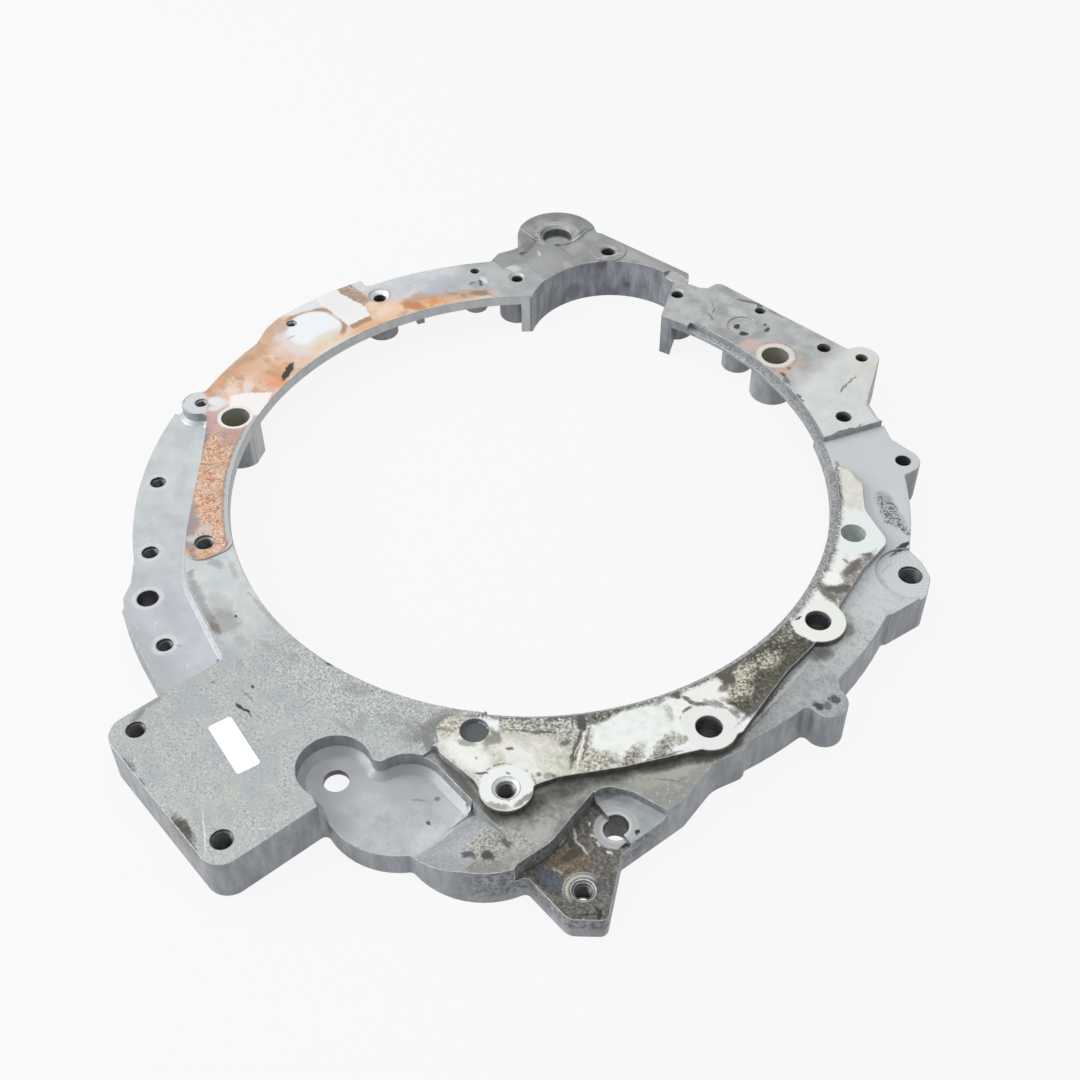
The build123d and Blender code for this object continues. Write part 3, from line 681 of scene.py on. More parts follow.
p.marks([
    (199, -79, 191, -86, 1.3, 0.6), (199, -80, 199.5, -75, 1.2, 0.5), (203, 88, 204, 62, 1.6, 0.4),
    (203, 60, 205, 30, 1.4, 0.5), (178, -118, 181, -125, 3, 0.8), (181, -132, 184, -140, 4, 0.6),
    (165, -141, 176, -146, 3, 0.5), (176, -158, 170, -165, 2.4, 0.6),
], (104, 104, 102), 0.8, 0.9)
mottled = p.step(x, 146, 150) * p.step(x, 190, 184) * p.step(y, -146, -152)
p.lay(mottled * p.step(z, 23.9, 23.5), p.ramp(speck, 0.36, (156, 158, 159), 0.64, (184, 186, 188)), 0.5)
p.lay(
    mottled
    * p.ovals([
        (168, -166, 9, 10, -20, 0.9), (163, -160, 8, 6, 0, 0.5), (176, -154, 8, 6, 20, 0.6),
    ], 0.9, 1.6), p.ramp(speck, 0.38, (98, 97, 90), 0.58, (180, 179, 170)), 0.6, 0.1,
)
p.blots([
    (172.5, -170, 3.4, 2.4, 0), (166, -175.5, 4, 2, 20, 0.9), (173, -160, 3, 1.6, 0, 0.8),
], (72, 72, 70), 0.7, 1.2, 0.6)
# the dark lines along the foot of the raised face are painted shadow, with some dirt
foot_shadow_and_dirt = [
    (165.5, -150, 166, -128, 8), (166, -131, 172, -108, 10), (171, -111, 182, -88, 9),
    (181, -91, 194, -66, 7), (192, -70, 203, -50, 6), (202, -53, 201, -38, 4.4, 0.9),
    (200, -42, 192, 4, 4, 0.8), (192, 34, 189, 22, 8, 0.8), (191, 46, 186, 54, 6, 0.6),
    (176, 92, 170, 112, 4, 0.5), (152, -160, 166, -148, 10, 0.9), (112, -153, 150, -156, 5, 0.8),
]
p.marks(foot_shadow_and_dirt, (76, 76, 73), 0.9, 0.6, 0.55)
# a broader, blotchy painted shadow along the foot on the lower right, with some dirt
p.lay(
    p.step(p.rag, 0.42, 0.6)
    * p.strokes([(166, -150, 174, -104, 20), (172, -110, 190, -74, 14, 0.7)], 0.9, 0.6) * 0.7,
    (104, 103, 100),
)
# the light lines along the raised face's outer edges are painted highlight
p.marks([
    (189, 22, 197, -20, 2.2, 0.8), (197, -20, 199, -38, 1.6, 0.6), (173, 76, 179, 56, 2.0, 0.6),
], (204, 206, 204), 0.7, 0.4, 0.36)
along_opening = p.step(p.from_middle(p.place), 169.6, 168.8)
p.lay(along_opening, p.ramp(speck, 0.38, (134, 135, 134), 0.5, (160, 162, 162), 0.62, (184, 186, 186)), 0.5)
p.lay(
    p.either(
        p.strokes([
            (168.5, 122, 167.3, 111, 3.0), (167.5, 113, 171, 99, 2.6, 0.8), (172, 114.6, 180, 112.4, 2.2),
            (100, 140, 104, 137, 2.5, 0.5),
        ], 0.5, 0.4),
        p.ovals([
            (141, 134.5, 8, 4, -20), (150, 129.5, 9, 4.6, -15), (161, 126.6, 4, 2.4, -20),
            (150.5, 124.5, 2.6, 1.6, 0, 0.8),
        ], 0.7, 1.2) * p.step(speck, 0.56, 0.46),
    ), (66, 64, 64), 0.6, 0.05,
)
p.blots([(138, 137.5, 6, 3.5, -20, 0.6), (148, 131, 12, 4.5, -20, 0.4)], (150, 150, 152), 1.0, 0.8)
p.blots([
    (213.5, 11.5, 3.2, 2.4, 30, 0.9), (211.5, 2.5, 2.8, 2.0, 0), (214, 6, 2, 2.6, 0, 0.7),
], (72, 72, 70), 0.6, 1.8, 0.6)
turned = p.math("FRACT", p.from_point(p.exact, 179, 112) * 0.45)
seat = p.disc(183.3, 104.5, 15.5, 0.8, True) * p.step(z, 23, 22.8)
p.lay(seat, p.ramp(turned, 0.0, (202, 206, 207), 0.6, (214, 217, 217)), 0.35)
p.marks([
    (171, 104, 173, 92, 1.0, 0.5), (174, 92, 182, 88.5, 1.0, 0.5), (196, 96, 199, 92, 1.0, 0.5),
], grey(176))
flange_skin = p.done()

# the raised right face, scraped to white metal, with old sealant, oil and burnt dirt left on it
p = Paint("scraped_face", 0.15, 0.5)
x, y = p.axes(p.place)[:2]
crumb = p.noise(1.5, 3, 0.7, 27)
lump = p.noise(4.5, 4, 0.68, 13)
p.height = p.noise(0.7, 1, 0.6, 5) * 0.03
p.colour = p.ramp(lump, 0.3, (218, 220, 216), 0.6, (234, 236, 232))
p.lay(p.step(crumb, 0.56, 0.68) * p.step(lump, 0.46, 0.58) * 0.5, (176, 174, 164))

# the lower end is a dirty beige with streaks
p.lay(
    p.step(y, -90, -104), p.ramp(lump, 0.34, (176, 175, 160), 0.5, (202, 201, 187), 0.66, (219, 220, 211)),
)
p.lay(p.step(y, -90, -104) * p.step(crumb, 0.52, 0.62) * 0.5, (146, 144, 131))
p.blots([
    (134, -107, 18, 9, 48, 0.95), (142, -94, 12, 6, 50, 0.95), (125, -118, 9, 7, 40, 0.8),
    (148, -103, 10, 6, 30, 0.7),
], p.ramp(crumb, 0.4, (98, 98, 90), 0.5, (150, 149, 138), 0.6, (214, 212, 200)), 0.8, 1.0)
p.blots([
    (166, -103, 10, 9, 20, 0.9), (157, -100, 6, 9, 30, 0.7), (172, -96, 6, 4, 40, 0.8),
], p.ramp(crumb, 0.4, (112, 110, 96), 0.5, (168, 165, 150), 0.6, (220, 218, 206)), 0.8, 1.2)
p.blots([(134, -128, 8, 6, 0, 0.5), (143, -118, 8, 10, -20, 0.4)], (220, 214, 212), 0.9, 0.7)
p.blots([(125, -144, 18, 7, 2, 0.8), (146, -127, 12, 6, 0, 0.6)], (232, 233, 229), 0.8, 0.6)
p.blots([
    (108, -141, 7, 8, -20, 0.9), (104, -134, 5, 4, 30, 0.6),
], p.ramp(crumb, 0.38, (128, 118, 106), 0.58, (214, 210, 200)), 0.8, 1.2)

# the upper end
p.lay(
    p.area([(100, 141), (100, 128), (128, 110.5), (139, 117), (126, 139)], 1.6, 1.2),
    p.ramp(lump, 0.34, (206, 203, 194), 0.6, (222, 221, 214)), 0.5,
)
p.blots([
    (118, 137.5, 12, 3, -20, 0.9), (131, 130, 9, 2.6, -40, 0.7), (107, 136, 4, 2, 10, 0.7),
], p.ramp(crumb, 0.36, (132, 126, 114), 0.6, (190, 186, 174)), 0.9, 1.0, 0.6)
p.marks([
    (103, 129, 122, 118, 3.4, 0.8), (112, 124, 127, 115, 1.6, 0.8), (104, 136, 105, 128, 2.0, 0.6),
], (112, 110, 100), 0.6, 0.5, 0.6)
p.blots([(126, 131, 4, 3, 0, 0.6)], (228, 212, 198), 0.9, 0.6)
p.marks([
    (150, 117, 160, 104, 3, 0.4), (160, 104, 166, 92, 3, 0.6), (138, 124, 150, 114, 2, 0.3),
], (176, 176, 168), 0.9, 0.8)

# burnt sealant round the upper bolt hole, with cream specks, and a long brown belt below it
p.lay(
    p.area([
        (162, 96), (157, 97), (161, 84), (160, 70), (164, 55), (180, 55), (174, 78), (168, 97),
    ], 2.2, 2.4) * 0.9, p.ramp(crumb, 0.4, (104, 98, 90), 0.55, (152, 147, 138), 0.68, (214, 210, 200)),
    0.6,
)
p.blots([
    (160, 94, 4.5, 2.6, 15, 0.9), (163, 80, 2.6, 10, 8, 0.9), (168, 64, 8, 3.2, 55),
    (165, 58, 8, 3, -12, 0.9), (158, 82, 3, 0.8, 0, 0.7), (155, 92, 2.6, 0.8, 20, 0.5),
], (98, 93, 86), 0.7, 1.2, 0.65)
p.lay(
    p.area([(147, 84), (152, 64), (158, 55), (162, 62), (157, 72), (150, 86)], 1.6, 2.0) * 0.9,
    p.ramp(crumb, 0.42, (98, 98, 80), 0.6, (168, 166, 152)), 0.6,
)
p.blots([(161, 67, 6, 5, 40), (154, 78, 3.4, 8, 25, 0.7)], (238, 238, 234), 0.7, 1.0)
p.lay(
    p.area([(162, 30), (164, -26), (170, -34), (197, -30), (193, 0), (188, 29)], 1.6, 1.8),
    p.ramp(crumb, 0.43, (62, 60, 52), 0.54, (88, 85, 74), 0.62, (134, 129, 114), 0.7, (202, 197, 182)),
    0.62,
)
p.blots([
    (186, 6, 5, 22, 8, 0.9), (167.5, 4, 2.6, 20, 2, 0.7), (189, -22, 4, 10, 12, 0.8),
], p.ramp(crumb, 0.42, (64, 62, 54), 0.62, (104, 100, 86)), 0.8, 1.0, 0.62)
p.blots([
    (178, 3, 5, 7, 0, 0.8), (176, -12, 4.6, 8, 10, 0.95), (181, -22, 6, 7, -20, 0.9),
    (173, 20, 3, 4, 0, 0.5),
], p.ramp(crumb, 0.44, (112, 104, 90), 0.57, (214, 209, 192)), 0.9, 1.9, 0.5)
p.lay(
    p.area([(165, -27), (172, -24), (188, -31), (176, -36), (166, -46), (160, -44)], 1.8, 1.6),
    (230, 229, 224),
)
p.blots([
    (173, -21, 4.4, 3.4, -30), (176, -27, 2, 3, 0, 0.8), (190, -34, 4, 2.2, 0, 0.7),
    (169, -16, 2, 8, 0, 0.6), (166, -33, 1.4, 4, -20, 0.6),
], (88, 82, 76), 0.6, 1.2, 0.65)

p.blots([
    (162, 10, 2.4, 20, -4, 0.8), (164, -34, 1.8, 8, -20, 0.8), (159, -64, 3, 9, -28, 0.7),
    (155, -75, 4, 9, -30, 0.8), (149, -84, 5, 5, 0, 0.9), (170, 24, 6, 4, 0, 0.7),
], p.ramp(crumb, 0.42, (78, 76, 72), 0.6, (168, 164, 154)), 0.8, 1.6, 0.62)

# clean metal round the bolt holes, and the thin dark outlines of their washers
p.lay(p.disc(146.6, 100.6, 15.5, 1.0), (228, 234, 233), 0.4)
p.lay(p.disc(176.3, 40.4, 14.2, 0.6), (232, 233, 226), 0.4)
p.lay(p.disc(188, -48.2, 13.6, 0.5), (224, 225, 221), 0.42)
p.lay(
    p.ring(188, -48.2, 14.2, 0.8, 0.5) * p.step(p.rag, 0.46, 0.58) * p.step(x, 184, 178) * 0.9,
    (92, 90, 84),
)
p.blots([
    (163, -46.5, 3.6, 2.8, 0), (171, -44.5, 4.6, 1.2, 12, 0.9), (176, -41.5, 3.4, 1.1, 45, 0.9),
    (179, -37.5, 4, 1.8, 20, 0.6), (174, -49, 1.0, 3, -8, 0.8), (182, -35, 4, 1.4, 8, 0.7),
    (162, -55, 2, 2.4, 0, 0.6), (160, -49, 3, 1.6, 0, 0.6),
], (90, 86, 80), 0.7, 1.3, 0.62)
p.marks([(169, 36.6, 168.6, 31.6, 1.4)], (70, 68, 68), 0.6, 0.5, 0.5, 0.15)

# the bright middle of the lower right side between two dirty margins
p.lay(
    p.area([
        (170, -53), (161, -60), (155, -72), (153, -88), (160, -98), (174, -95), (181, -76), (186, -62),
    ], 1.2, 1.2), p.ramp(lump, 0.34, (218, 221, 215), 0.56, (231, 233, 229)), 0.4,
)
p.blots([
    (184, -64, 4, 3, 40, 0.8), (184, -75, 3.8, 11, 20, 0.95), (178, -88, 4, 9, 15, 0.95),
    (171, -95, 5, 3, 30, 0.6), (170, -57, 5, 2, -30, 0.5),
], p.ramp(crumb, 0.42, (92, 88, 74), 0.6, (186, 183, 170)), 0.8, 1.6, 0.6)
p.lay(
    p.area([(145, -92), (140, -88), (152, -66), (158, -60), (159, -70), (153, -84), (152, -92)], 1.4, 2.0)
    * 0.95, p.ramp(crumb, 0.44, (66, 64, 62), 0.62, (172, 170, 160)), 0.6,
)
p.marks([
    (141.5, -88, 152, -96, 4.4), (150, -94, 163, -113, 3.0, 0.9), (151, -90, 165, -108, 1.6, 0.6),
    (139, -92, 148, -98, 1.4, 0.6), (144, -105, 135, -115, 1.8, 0.8), (137, -112, 128, -121, 1.1, 0.7),
    (160, -122, 165, -122, 1.8, 0.7),
], (78, 75, 71), 0.5, 0.7, 0.62, 0.08)
p.blots([
    (151, -106, 1.6, 2.6, 0, 0.8), (148, -101, 1.0, 1.6, 0, 0.6), (137, -127.5, 0.9, 1.8, -30, 0.9),
    (160, -124, 2, 2.4, 0, 0.5), (157, -127, 1.4, 1.0, 0, 0.8),
], (88, 84, 80), 0.7, 1.0)
p.marks([(152, -94, 166, -112, 1.6, 0.7), (154, -98, 160, -108, 1.0, 0.5)], (232, 228, 214))

# the lower bolt hole, the blind hole and the dirt in the corner
p.lay(p.disc(152.9, -143, 12.4, 0.8), (226, 228, 225), 0.4)
p.lay(p.ring(152.9, -143, 13.6, 0.9, 0.5) * p.step(p.rag, 0.48, 0.56) * 0.85, (104, 101, 95))
p.marks([(137, -149, 141, -144, 1.8, 0.9)], (74, 72, 70))
p.blots([
    (147, -136.6, 1.2, 0.7, 40, 0.8), (158, -146, 1.4, 0.6, 0, 0.7), (131, -143, 0.8, 0.5, 0, 0.6),
], (120, 116, 110), 0.6, 0.6)
p.blots([
    (163, -139, 1.4, 8, 0, 0.8), (158, -152, 6, 1.6, 35, 0.7), (150, -156, 6, 1.2, 0, 0.6),
], (110, 104, 96), 0.8, 1.2)
p.lay(p.area([(112, -127.5), (123, -127), (126, -126), (119, -119)], 1.0, 0.4), (228, 234, 233), 0.4)
p.blots([
    (127, -128, 5, 2.2, -10, 0.8), (127, -131, 3, 4, 0, 0.8), (121, -141, 5, 1.8, 35, 0.7),
    (108, -144, 4, 1.4, 40, 0.6), (105, -147, 3, 1.2, 10, 0.6),
], (116, 112, 100), 0.8, 1.1, 0.6)
p.lay(p.disc(117.7, -133.4, 7.0, 0.4), (82, 87, 88), 0.55)

# the inner border, where dirt sits along the step to the opening, and a dark line just inside the outer edge
inner = p.step(p.from_middle(p.plan), 172.4, 169.0)
p.lay(inner * p.step(crumb, 0.62, 0.5) * 0.9, (92, 90, 85), 0.6)
p.marks([
    (126, -152.5, 146, -155.5, 2.6, 0.7), (164, -131, 172, -112, 3.0, 0.9), (172, -112, 181, -92, 2.6, 0.9),
    (181, -92, 190, -68, 2.2, 0.9), (196, -36, 190, 0, 2.6, 0.8), (190, 0, 188, 26, 3.4, 0.8),
    (176, 60, 171, 86, 2.4, 0.7),
], (94, 91, 84), 0.9, 1.4, 0.6)
scraped_face = p.done()

# the pocket, the step round its corner bolt and the triangular lug, where oil has run down and dried
p = Paint("oily_skin", 0.3, 0.42)
x, y, z = p.axes(p.place)
cloud = p.noise(9, 3, 0.6, 3)
speck = p.noise(1.4, 3, 0.7, 17)
p.height = p.noise(0.9, 1, 0.6, 5) * 0.05
p.colour = p.ramp(cloud, 0.3, (166, 169, 172), 0.7, (184, 187, 190))
p.lay(p.step(speck, 0.55, 0.68) * p.step(x, 108, 130) * 0.35, (196, 198, 198))
p.lay(p.step(speck, 0.45, 0.36) * p.step(x, 100, 125) * 0.35, (146, 148, 150))
p.blots([(112, -170, 16, 8, 10, 0.6), (132, -166, 12, 8, 0, 0.5)], (160, 162, 165), 0.9, 0.5)
p.blots([(90, -196, 14, 14, 0, 0.6), (112, -208, 10, 6, 0, 0.5)], (154, 157, 161), 0.9, 0.4)
p.blots([(144, -180, 6, 10, 0, 0.6), (138, -165, 8, 6, 0, 0.4)], (200, 202, 200), 0.9, 1.6)
p.blots([
    (137, -176.5, 1.2, 0.9, 0), (129, -165, 1.0, 1.2, 0, 0.7), (124, -172, 3.4, 0.7, 40, 0.4),
    (160, -179, 1.2, 0.9, 0, 0.8), (141, -157, 3, 0.9, -20, 0.8),
], (92, 92, 94), 0.6, 0.8, 0.6)
# the light line along the foot of the ramp is a painted highlight
p.marks([(142, -160, 147.5, -173, 1.8, 0.6), (147.5, -173, 150, -189, 1.8, 0.7)], (206, 207, 204), 0.8, 0.8)
slope = p.step(x, 147, 149) * p.step(z, 13.9, 14.6) * p.step(x, 190, 186) * p.step(y, -140, -150)
p.lay(slope, p.ramp(speck, 0.36, (148, 150, 152), 0.64, (173, 175, 178)))
p.lay(
    slope * p.ovals([(168, -166, 9, 10, -20, 0.9), (163, -160, 8, 6, 0, 0.5)], 0.9, 1.6),
    p.ramp(speck, 0.38, (98, 97, 90), 0.58, (182, 181, 172)), 0.6, 0.1,
)
p.blots([
    (172.5, -170, 3.4, 2.4, 0), (166, -175.5, 4, 2, 20, 0.9), (173, -160, 3, 1.6, 0, 0.8),
], (72, 72, 70), 0.7, 1.2, 0.6)

# the low corner: bright seats, brown dried oil between them
low = p.step(x, 173, 176) * p.step(y, -82, -88)
p.lay(
    low, p.ramp(speck, 0.38, (74, 72, 68), 0.5, (100, 97, 90), 0.6, (122, 119, 111), 0.7, (150, 147, 139)),
    0.55,
)
p.lay(
    low * p.step(z, 17, 17.3) * p.step(y, -121, -114),
    p.ramp(cloud, 0.3, (146, 152, 153), 0.7, (164, 169, 170)), 0.42,
)
turned = p.math("FRACT", p.from_point(p.exact, 195.2, -113.5) * 0.6)
p.lay(p.disc(195.2, -113.5, 10.4, 0.5), p.ramp(turned, 0.0, (156, 157, 157), 0.7, (174, 175, 175)), 0.35)
p.lay(p.ring(195.2, -113.5, 6.8, 0.9, 0.3) * 0.8, grey(198), 0.3)
p.blots([
    (194, -139, 7, 7, 0, 0.8), (190, -144, 4, 5, 0, 0.6),
], p.ramp(speck, 0.38, (96, 82, 62), 0.6, (146, 128, 100)), 0.9, 1.2, 0.6)
p.blots([
    (192.5, -137, 2.4, 7, -8, 0.8), (188.5, -133.5, 2, 1.6, 0, 0.8), (184, -146, 2.4, 14, 0, 0.8),
], (66, 64, 61), 0.8, 1.2, 0.6)
p.blots([
    (196, -153.5, 8.4, 4.6, 4),
], p.ramp(speck, 0.4, (66, 71, 77), 0.6, (92, 97, 103)), 0.5, 0.5, 0.5, 0.5)
p.blots([
    (210, -140, 7, 3, 30, 0.8), (204, -140, 2.4, 3, 0, 0.5), (216, -151, 2.6, 2, 0, 0.4),
], (76, 76, 78), 0.9, 1.0, 0.5)
# the light arcs on the left of the raised rim round the lug's bolt hole are painted highlight
p.lay(
    p.either(
        p.ring(209.2, -145.7, 7.4, 1.5, 0.5) * p.step(x, 211, 205),
        p.ring(209.2, -145.7, 9.0, 0.8, 0.4) * p.step(x, 209, 203) * 0.7,
    ), (176, 175, 166), 0.35,
)
p.marks([
    (217.5, -147.2, 224, -147.6, 1.5), (222, -149, 216.5, -155.5, 1.1, 0.9),
    (221, -146.5, 224.5, -150, 2.2), (204, -107, 204.3, -110.5, 1.8), (204.8, -114, 203.6, -119, 2.0),
], (48, 48, 48), 0.5, 0.5, 0.6)
# the light lines along the step edges round the corner bolt are painted highlights
p.marks([
    (182.5, -99, 202, -91.4, 1.3, 0.9), (181.5, -127.5, 187, -131, 1.5, 0.9),
    (187, -131, 197, -131.8, 1.3, 0.8), (183, -133, 185, -139, 1.0, 0.6),
    (192, -148.5, 197, -147, 0.9, 0.5),
], (196, 194, 186), 0.7, 0.6, 0.35)
p.blots([
    (191, -124, 1.6, 0.7, 0), (195.5, -124.6, 1.2, 0.6, 0), (202.5, -124, 1.4, 0.7, 20),
    (185, -121, 1.2, 0.6, -40),
], (198, 194, 184), 0.6, 0.8)
p.blots([(180, -102, 4, 9, -30, 0.8), (188, -95, 9, 2.2, 22, 0.8)], (76, 77, 79), 0.9, 0.6)
oily_skin = p.done()

EDGE_BREAK = 0.35 * MM
SAME_POINT = 0.02 * MM
FLAT_ANGLE = math.radians(0.6)
SHARP_ANGLE = math.radians(28)
TOP_LEVEL = 27.9
SMALL_FACE = 100
BORE_MARGIN = 0.15
NARROW_NOTCH = (112, -121.2)
NOTCH_WALL = 3
FILE_REACH = 2.6
KNIFE_EDGE = 1.5
TRIMMED_CORNER = (112.42, -122.39)
FINISHES = [
    mould_skin, drilled_bore, filed_edge, blasted_face, crescent_skin, gasket_stained_face, dull_milled_face,
    flange_skin, scraped_face, oily_skin,
]
BORES = [
    (-72.4, -164.3, 5.3), (-172, -105.7, 3.5), (-201, -23.5, 3.1), (-188.8, 34.7, 3.8), (-170.2, 96.8, 2.8),
    (-147.2, 113, 3.5), (-131.2, 177, 4.4), (-67.8, 178.4, 3.7), (-21.2, 204.8, 3.2), (29.8, 207, 4.1),
    (51, 216.8, 3.5), (80, 168, 4.4), (176.3, 40.4, 6.4), (188, -48.2, 6.4), (152.9, -143, 4.6),
    (124.2, 168.7, 4.3), (11.6, -253.7, 4.8), (90.5, -255.3, 5.4), (-137.5, -156.1, 4.2),
    (-92.3, -187.2, 4.4), (-63.9, -205, 5.6), (-30.5, -214.6, 4.2), (183.3, 104.5, 6.2),
    (195.2, -113.5, 5.8), (209.2, -145.7, 4.2), (-148, -97.5, 8), (15.7, 179.3, 8), (146.6, 100.6, 6.4),
    (90.1, -194.7, 6.2), (-166.8, 163.8, 9.4),
]


def finish_of(x, y, z, up, spread):
    """The finish of a face, from where it lies in millimetres, how far it faces up and how large it is."""
    small = up < 0.3 or spread < SMALL_FACE
    in_bore = any(math.dist((x, y), hole[:2]) < hole[2] + BORE_MARGIN for hole in BORES)
    if z > 2 and small and in_bore:
        return drilled_bore
    if 0.2 < up < 0.9 and -95 < x < -66 and 170 < y < 198:
        return dull_milled_face
    if z > 25.5 and math.dist((x, y), NARROW_NOTCH) < NOTCH_WALL:
        return scraped_face
    if up < 0.6:
        return mould_skin
    if z > 26.9 and x > 100:
        return scraped_face
    if z > 25 and x > 105 and y > -142 and y < -125:
        return scraped_face
    if z > 23 and x < 100 and y > 140 or z > 24.8 and -200 < x < -60 and y > 127:
        return dull_milled_face
    if z > 26.9 and 113 < y and z < 27.6:
        return dull_milled_face
    if z > 25.6 and x < -60 and y > -178:
        return gasket_stained_face
    if z > 24.8 and y < -100:
        return blasted_face
    if z > 22.2 and x > 60:
        return flange_skin
    if z > 19.5 and x < 1.5 and y < -100:
        return crescent_skin
    if z > 13.5 and x > 70 and y < -80:
        return oily_skin
    return mould_skin


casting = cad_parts["adapter_plate"]
form = bmesh.new()
form.from_mesh(casting.data)
bmesh.ops.remove_doubles(form, verts=form.verts, dist=SAME_POINT)
bmesh.ops.dissolve_limit(
    form, angle_limit=FLAT_ANGLE, use_dissolve_boundaries=False, verts=form.verts, edges=form.edges,
    delimit=set(),
)

# beside the narrow notch the top face ends in a knife edge, which is drawn back to a corner
trimmed = [
    vert for vert in form.verts
    if vert.co.z > TOP_LEVEL * MM and (vert.co.xy / MM - Vector(NARROW_NOTCH)).length < KNIFE_EDGE
]
for vert in trimmed:
    vert.co.xy = Vector(TRIMMED_CORNER) * MM
bmesh.ops.remove_doubles(form, verts=trimmed, dist=SAME_POINT)
form.normal_update()
for face in form.faces:
    face.smooth = True
    centre = face.calc_center_median() / MM
    face.material_index = FINISHES.index(finish_of(*centre, face.normal.z, face.calc_area() / MM**2))

# the file reaches the outer corners, but neither the inner ones nor the notch
filed_weight = form.edges.layers.float.new("bevel_weight_edge")
for edge in form.edges:
    edge.smooth = len(edge.link_faces) == 2 and edge.calc_face_angle(math.pi) < SHARP_ANGLE
    in_notch = any((vert.co.xy / MM - Vector(NARROW_NOTCH)).length < FILE_REACH for vert in edge.verts)
    out_of_reach = edge.smooth or in_notch or not edge.is_convex
    edge[filed_weight] = 0.0 if out_of_reach else 1.0
plate_mesh = bpy.data.meshes.new("cast_plate")
form.to_mesh(plate_mesh)
form.free()
for finish in FINISHES:
    plate_mesh.materials.append(finish)
plate = bpy.data.objects.new("cast_plate", plate_mesh)
bpy.context.scene.collection.objects.link(plate)
filed = plate.modifiers.new("filed_edges", "BEVEL")
filed.width = EDGE_BREAK
filed.segments = 2
filed.limit_method = "WEIGHT"
filed.use_clamp_overlap = False
filed.harden_normals = True
filed.material = FINISHES.index(filed_edge)
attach(plate, "root")
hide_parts("adapter_plate")

# The tapped threads
# The bolt holes for the gearbox and the sensors are tapped. Each thread is a ridge with a pointed crest that
# winds down the bore, cut by a tap, and it stops short of the mouth.
TAPPED = [
    (-72.4, -164.3, 27.0, 5.3, 1.5), (152.9, -143.0, 26.6, 4.6, 1.25), (11.6, -253.7, 25.0, 4.8, 1.5),
    (90.5, -255.3, 25.0, 5.4, 1.5), (-137.5, -156.1, 19.0, 4.2, 1.25), (-92.3, -187.2, 19.0, 4.4, 1.25),
    (-30.5, -214.6, 19.0, 4.2, 1.25), (209.2, -145.7, 12.6, 4.2, 1.25), (-172.0, -105.7, 27.4, 3.5, 1.0),
    (-201.0, -23.5, 27.4, 3.1, 1.0), (183.3, 104.5, 22.0, 6.2, 1.75),
]
THREAD_DEPTH = 0.55
THREAD_ROOT = 0.1
THREAD_LENGTH = 17.0
UNTAPPED = 1.5
TURN_STEPS = 28

threads = bmesh.new()
for hole_x, hole_y, top, bore, pitch in TAPPED:
    turns = int(min(THREAD_LENGTH, top - UNTAPPED) / pitch)
    crest = bore - THREAD_DEPTH * pitch
    root = bore + THREAD_ROOT
    corners = [
        threads.verts.new(Vector((hole_x + out, hole_y, top - drop)) * MM)
        for out, drop in ((root, 0.05 * pitch), (crest, 0.5 * pitch), (root, 0.95 * pitch))
    ]
    section = threads.faces.new(corners)
    bmesh.ops.spin(
        threads, geom=[section, *section.edges, *corners], cent=Vector((hole_x, hole_y, 0)) * MM,
        axis=(0, 0, 1), dvec=Vector((0, 0, -pitch / TURN_STEPS)) * MM, angle=2 * math.pi * turns,
        steps=TURN_STEPS * turns, use_merge=False, use_duplicate=False,
    )
bmesh.ops.recalc_face_normals(threads, faces=threads.faces)
thread_mesh = bpy.data.meshes.new("tapped_threads")
threads.to_mesh(thread_mesh)
threads.free()
thread_mesh.materials.append(drilled_bore)
tapped = bpy.data.objects.new("tapped_threads", thread_mesh)
bpy.context.scene.collection.objects.link(tapped)
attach(tapped, "root")

# The paper label
# A small sticker with rounded corners, pressed on the pad. It is coated paper, blank here, a little scuffed.
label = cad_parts["paper_label"]
p = Paint("coated_paper", 0.0, 0.42)
p.colour = p.ramp(p.noise(1.2, 2, 0.6, 3), 0.35, (240, 241, 243), 0.65, (248, 248, 249))
p.marks([(38, -219, 44, -220.5, 0.5, 0.3), (57, -228.5, 62, -226, 0.5, 0.3)], (214, 214, 214))
p.height = p.noise(0.5, 1, 0.5, 6) * 0.015
coated_paper = p.done()
label.data.materials.clear()
label.data.materials.append(coated_paper)

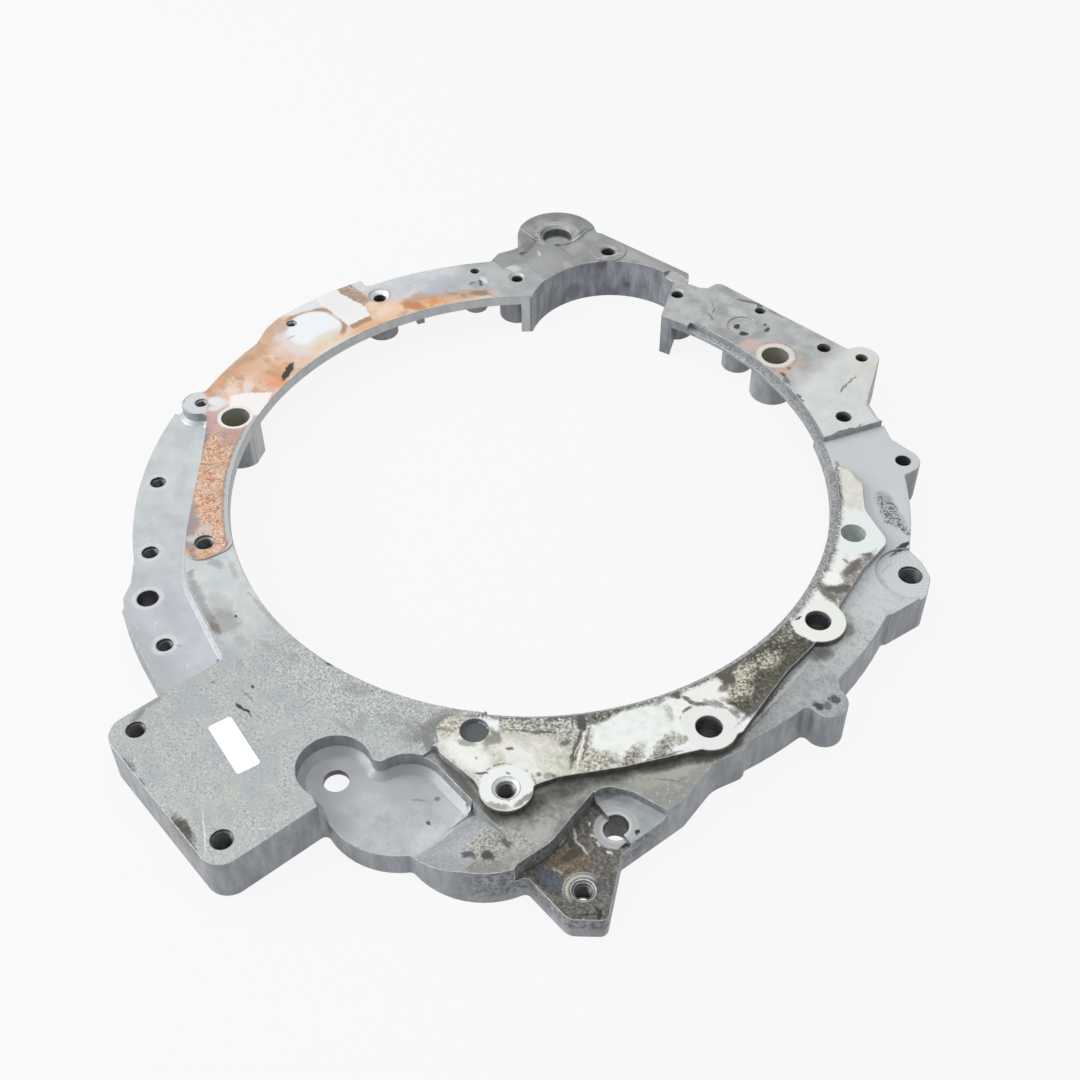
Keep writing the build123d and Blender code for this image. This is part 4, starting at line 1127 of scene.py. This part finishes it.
# The studio
# A plain white floor, soft light from above and a broad lamp at the left, as in the photograph.
FLOOR_GAP = 0.1 * MM
bpy.ops.mesh.primitive_plane_add(size=12, location=(0, 0, -FLOOR_GAP))
floor = bpy.context.object
floor.name = "floor"
floor_paint = bpy.data.materials.new("studio_floor")
floor_paint.use_nodes = True
tree = floor_paint.node_tree
shader = tree.nodes["Principled BSDF"]
shader.inputs["Base Color"].default_value = (*linear(grey(168)), 1)
shader.inputs["Roughness"].default_value = 0.9
GLOW = 0.9
light_path = tree.nodes.new("ShaderNodeLightPath")
glow = tree.nodes.new("ShaderNodeEmission")
glow.inputs["Strength"].default_value = 1.0
mixed = tree.nodes.new("ShaderNodeMixShader")
seen = Value(tree, light_path.outputs["Is Camera Ray"])
shiny = Value(tree, light_path.outputs["Is Glossy Ray"])
through = Value(tree, light_path.outputs["Is Transmission Ray"])
tree.links.new(((seen + shiny + through) * GLOW).socket, mixed.inputs[0])
tree.links.new(shader.outputs[0], mixed.inputs[1])
tree.links.new(glow.outputs[0], mixed.inputs[2])
tree.links.new(mixed.outputs[0], tree.nodes["Material Output"].inputs[0])
floor.data.materials.append(floor_paint)

world = bpy.data.worlds.new("studio")
bpy.context.scene.world = world
world.use_nodes = True
background = world.node_tree.nodes["Background"]
background.inputs["Color"].default_value = (0.95, 0.975, 1.0, 1)
background.inputs["Strength"].default_value = 0.48


def soft_lamp(name, place, size, power):
    """A round lamp that looks at the middle of the ring."""
    lamp = bpy.data.lights.new(name, "AREA")
    lamp.shape = "DISK"
    lamp.size = size
    lamp.energy = power
    held = bpy.data.objects.new(name, lamp)
    bpy.context.scene.collection.objects.link(held)
    held.location = place
    held.rotation_euler = (Vector() - Vector(place)).to_track_quat("-Z", "Y").to_euler()


soft_lamp("left_lamp", (-1.3, -1.55, 1.3), 1.6, 38)
soft_lamp("top_lamp", (0.0, 0.0, 2.2), 2.0, 21)

# The camera
# It looks down from the corner between the pad and the triangular lug, as the photograph does.
CAMERA_PLACE = (0.46873, -0.38677, 0.59262)
LOOK_DOWN = math.radians(45.4)
HEADING = (-0.766, 0.643)
ROLL = math.radians(-0.48)
camera_data = bpy.data.cameras.new("camera")
camera_data.sensor_width = 36
camera_data.lens = 50
camera = bpy.data.objects.new("camera", camera_data)
bpy.context.scene.collection.objects.link(camera)
ahead = Vector((HEADING[0] * math.cos(LOOK_DOWN), HEADING[1] * math.cos(LOOK_DOWN), -math.sin(LOOK_DOWN)))
facing = ahead.to_track_quat("-Z", "Y").to_matrix().to_4x4() @ Matrix.Rotation(ROLL, 4, "Z")
camera.matrix_world = Matrix.Translation(CAMERA_PLACE) @ facing
bpy.context.scene.camera = camera
bpy.context.scene.view_settings.view_transform = "Standard"
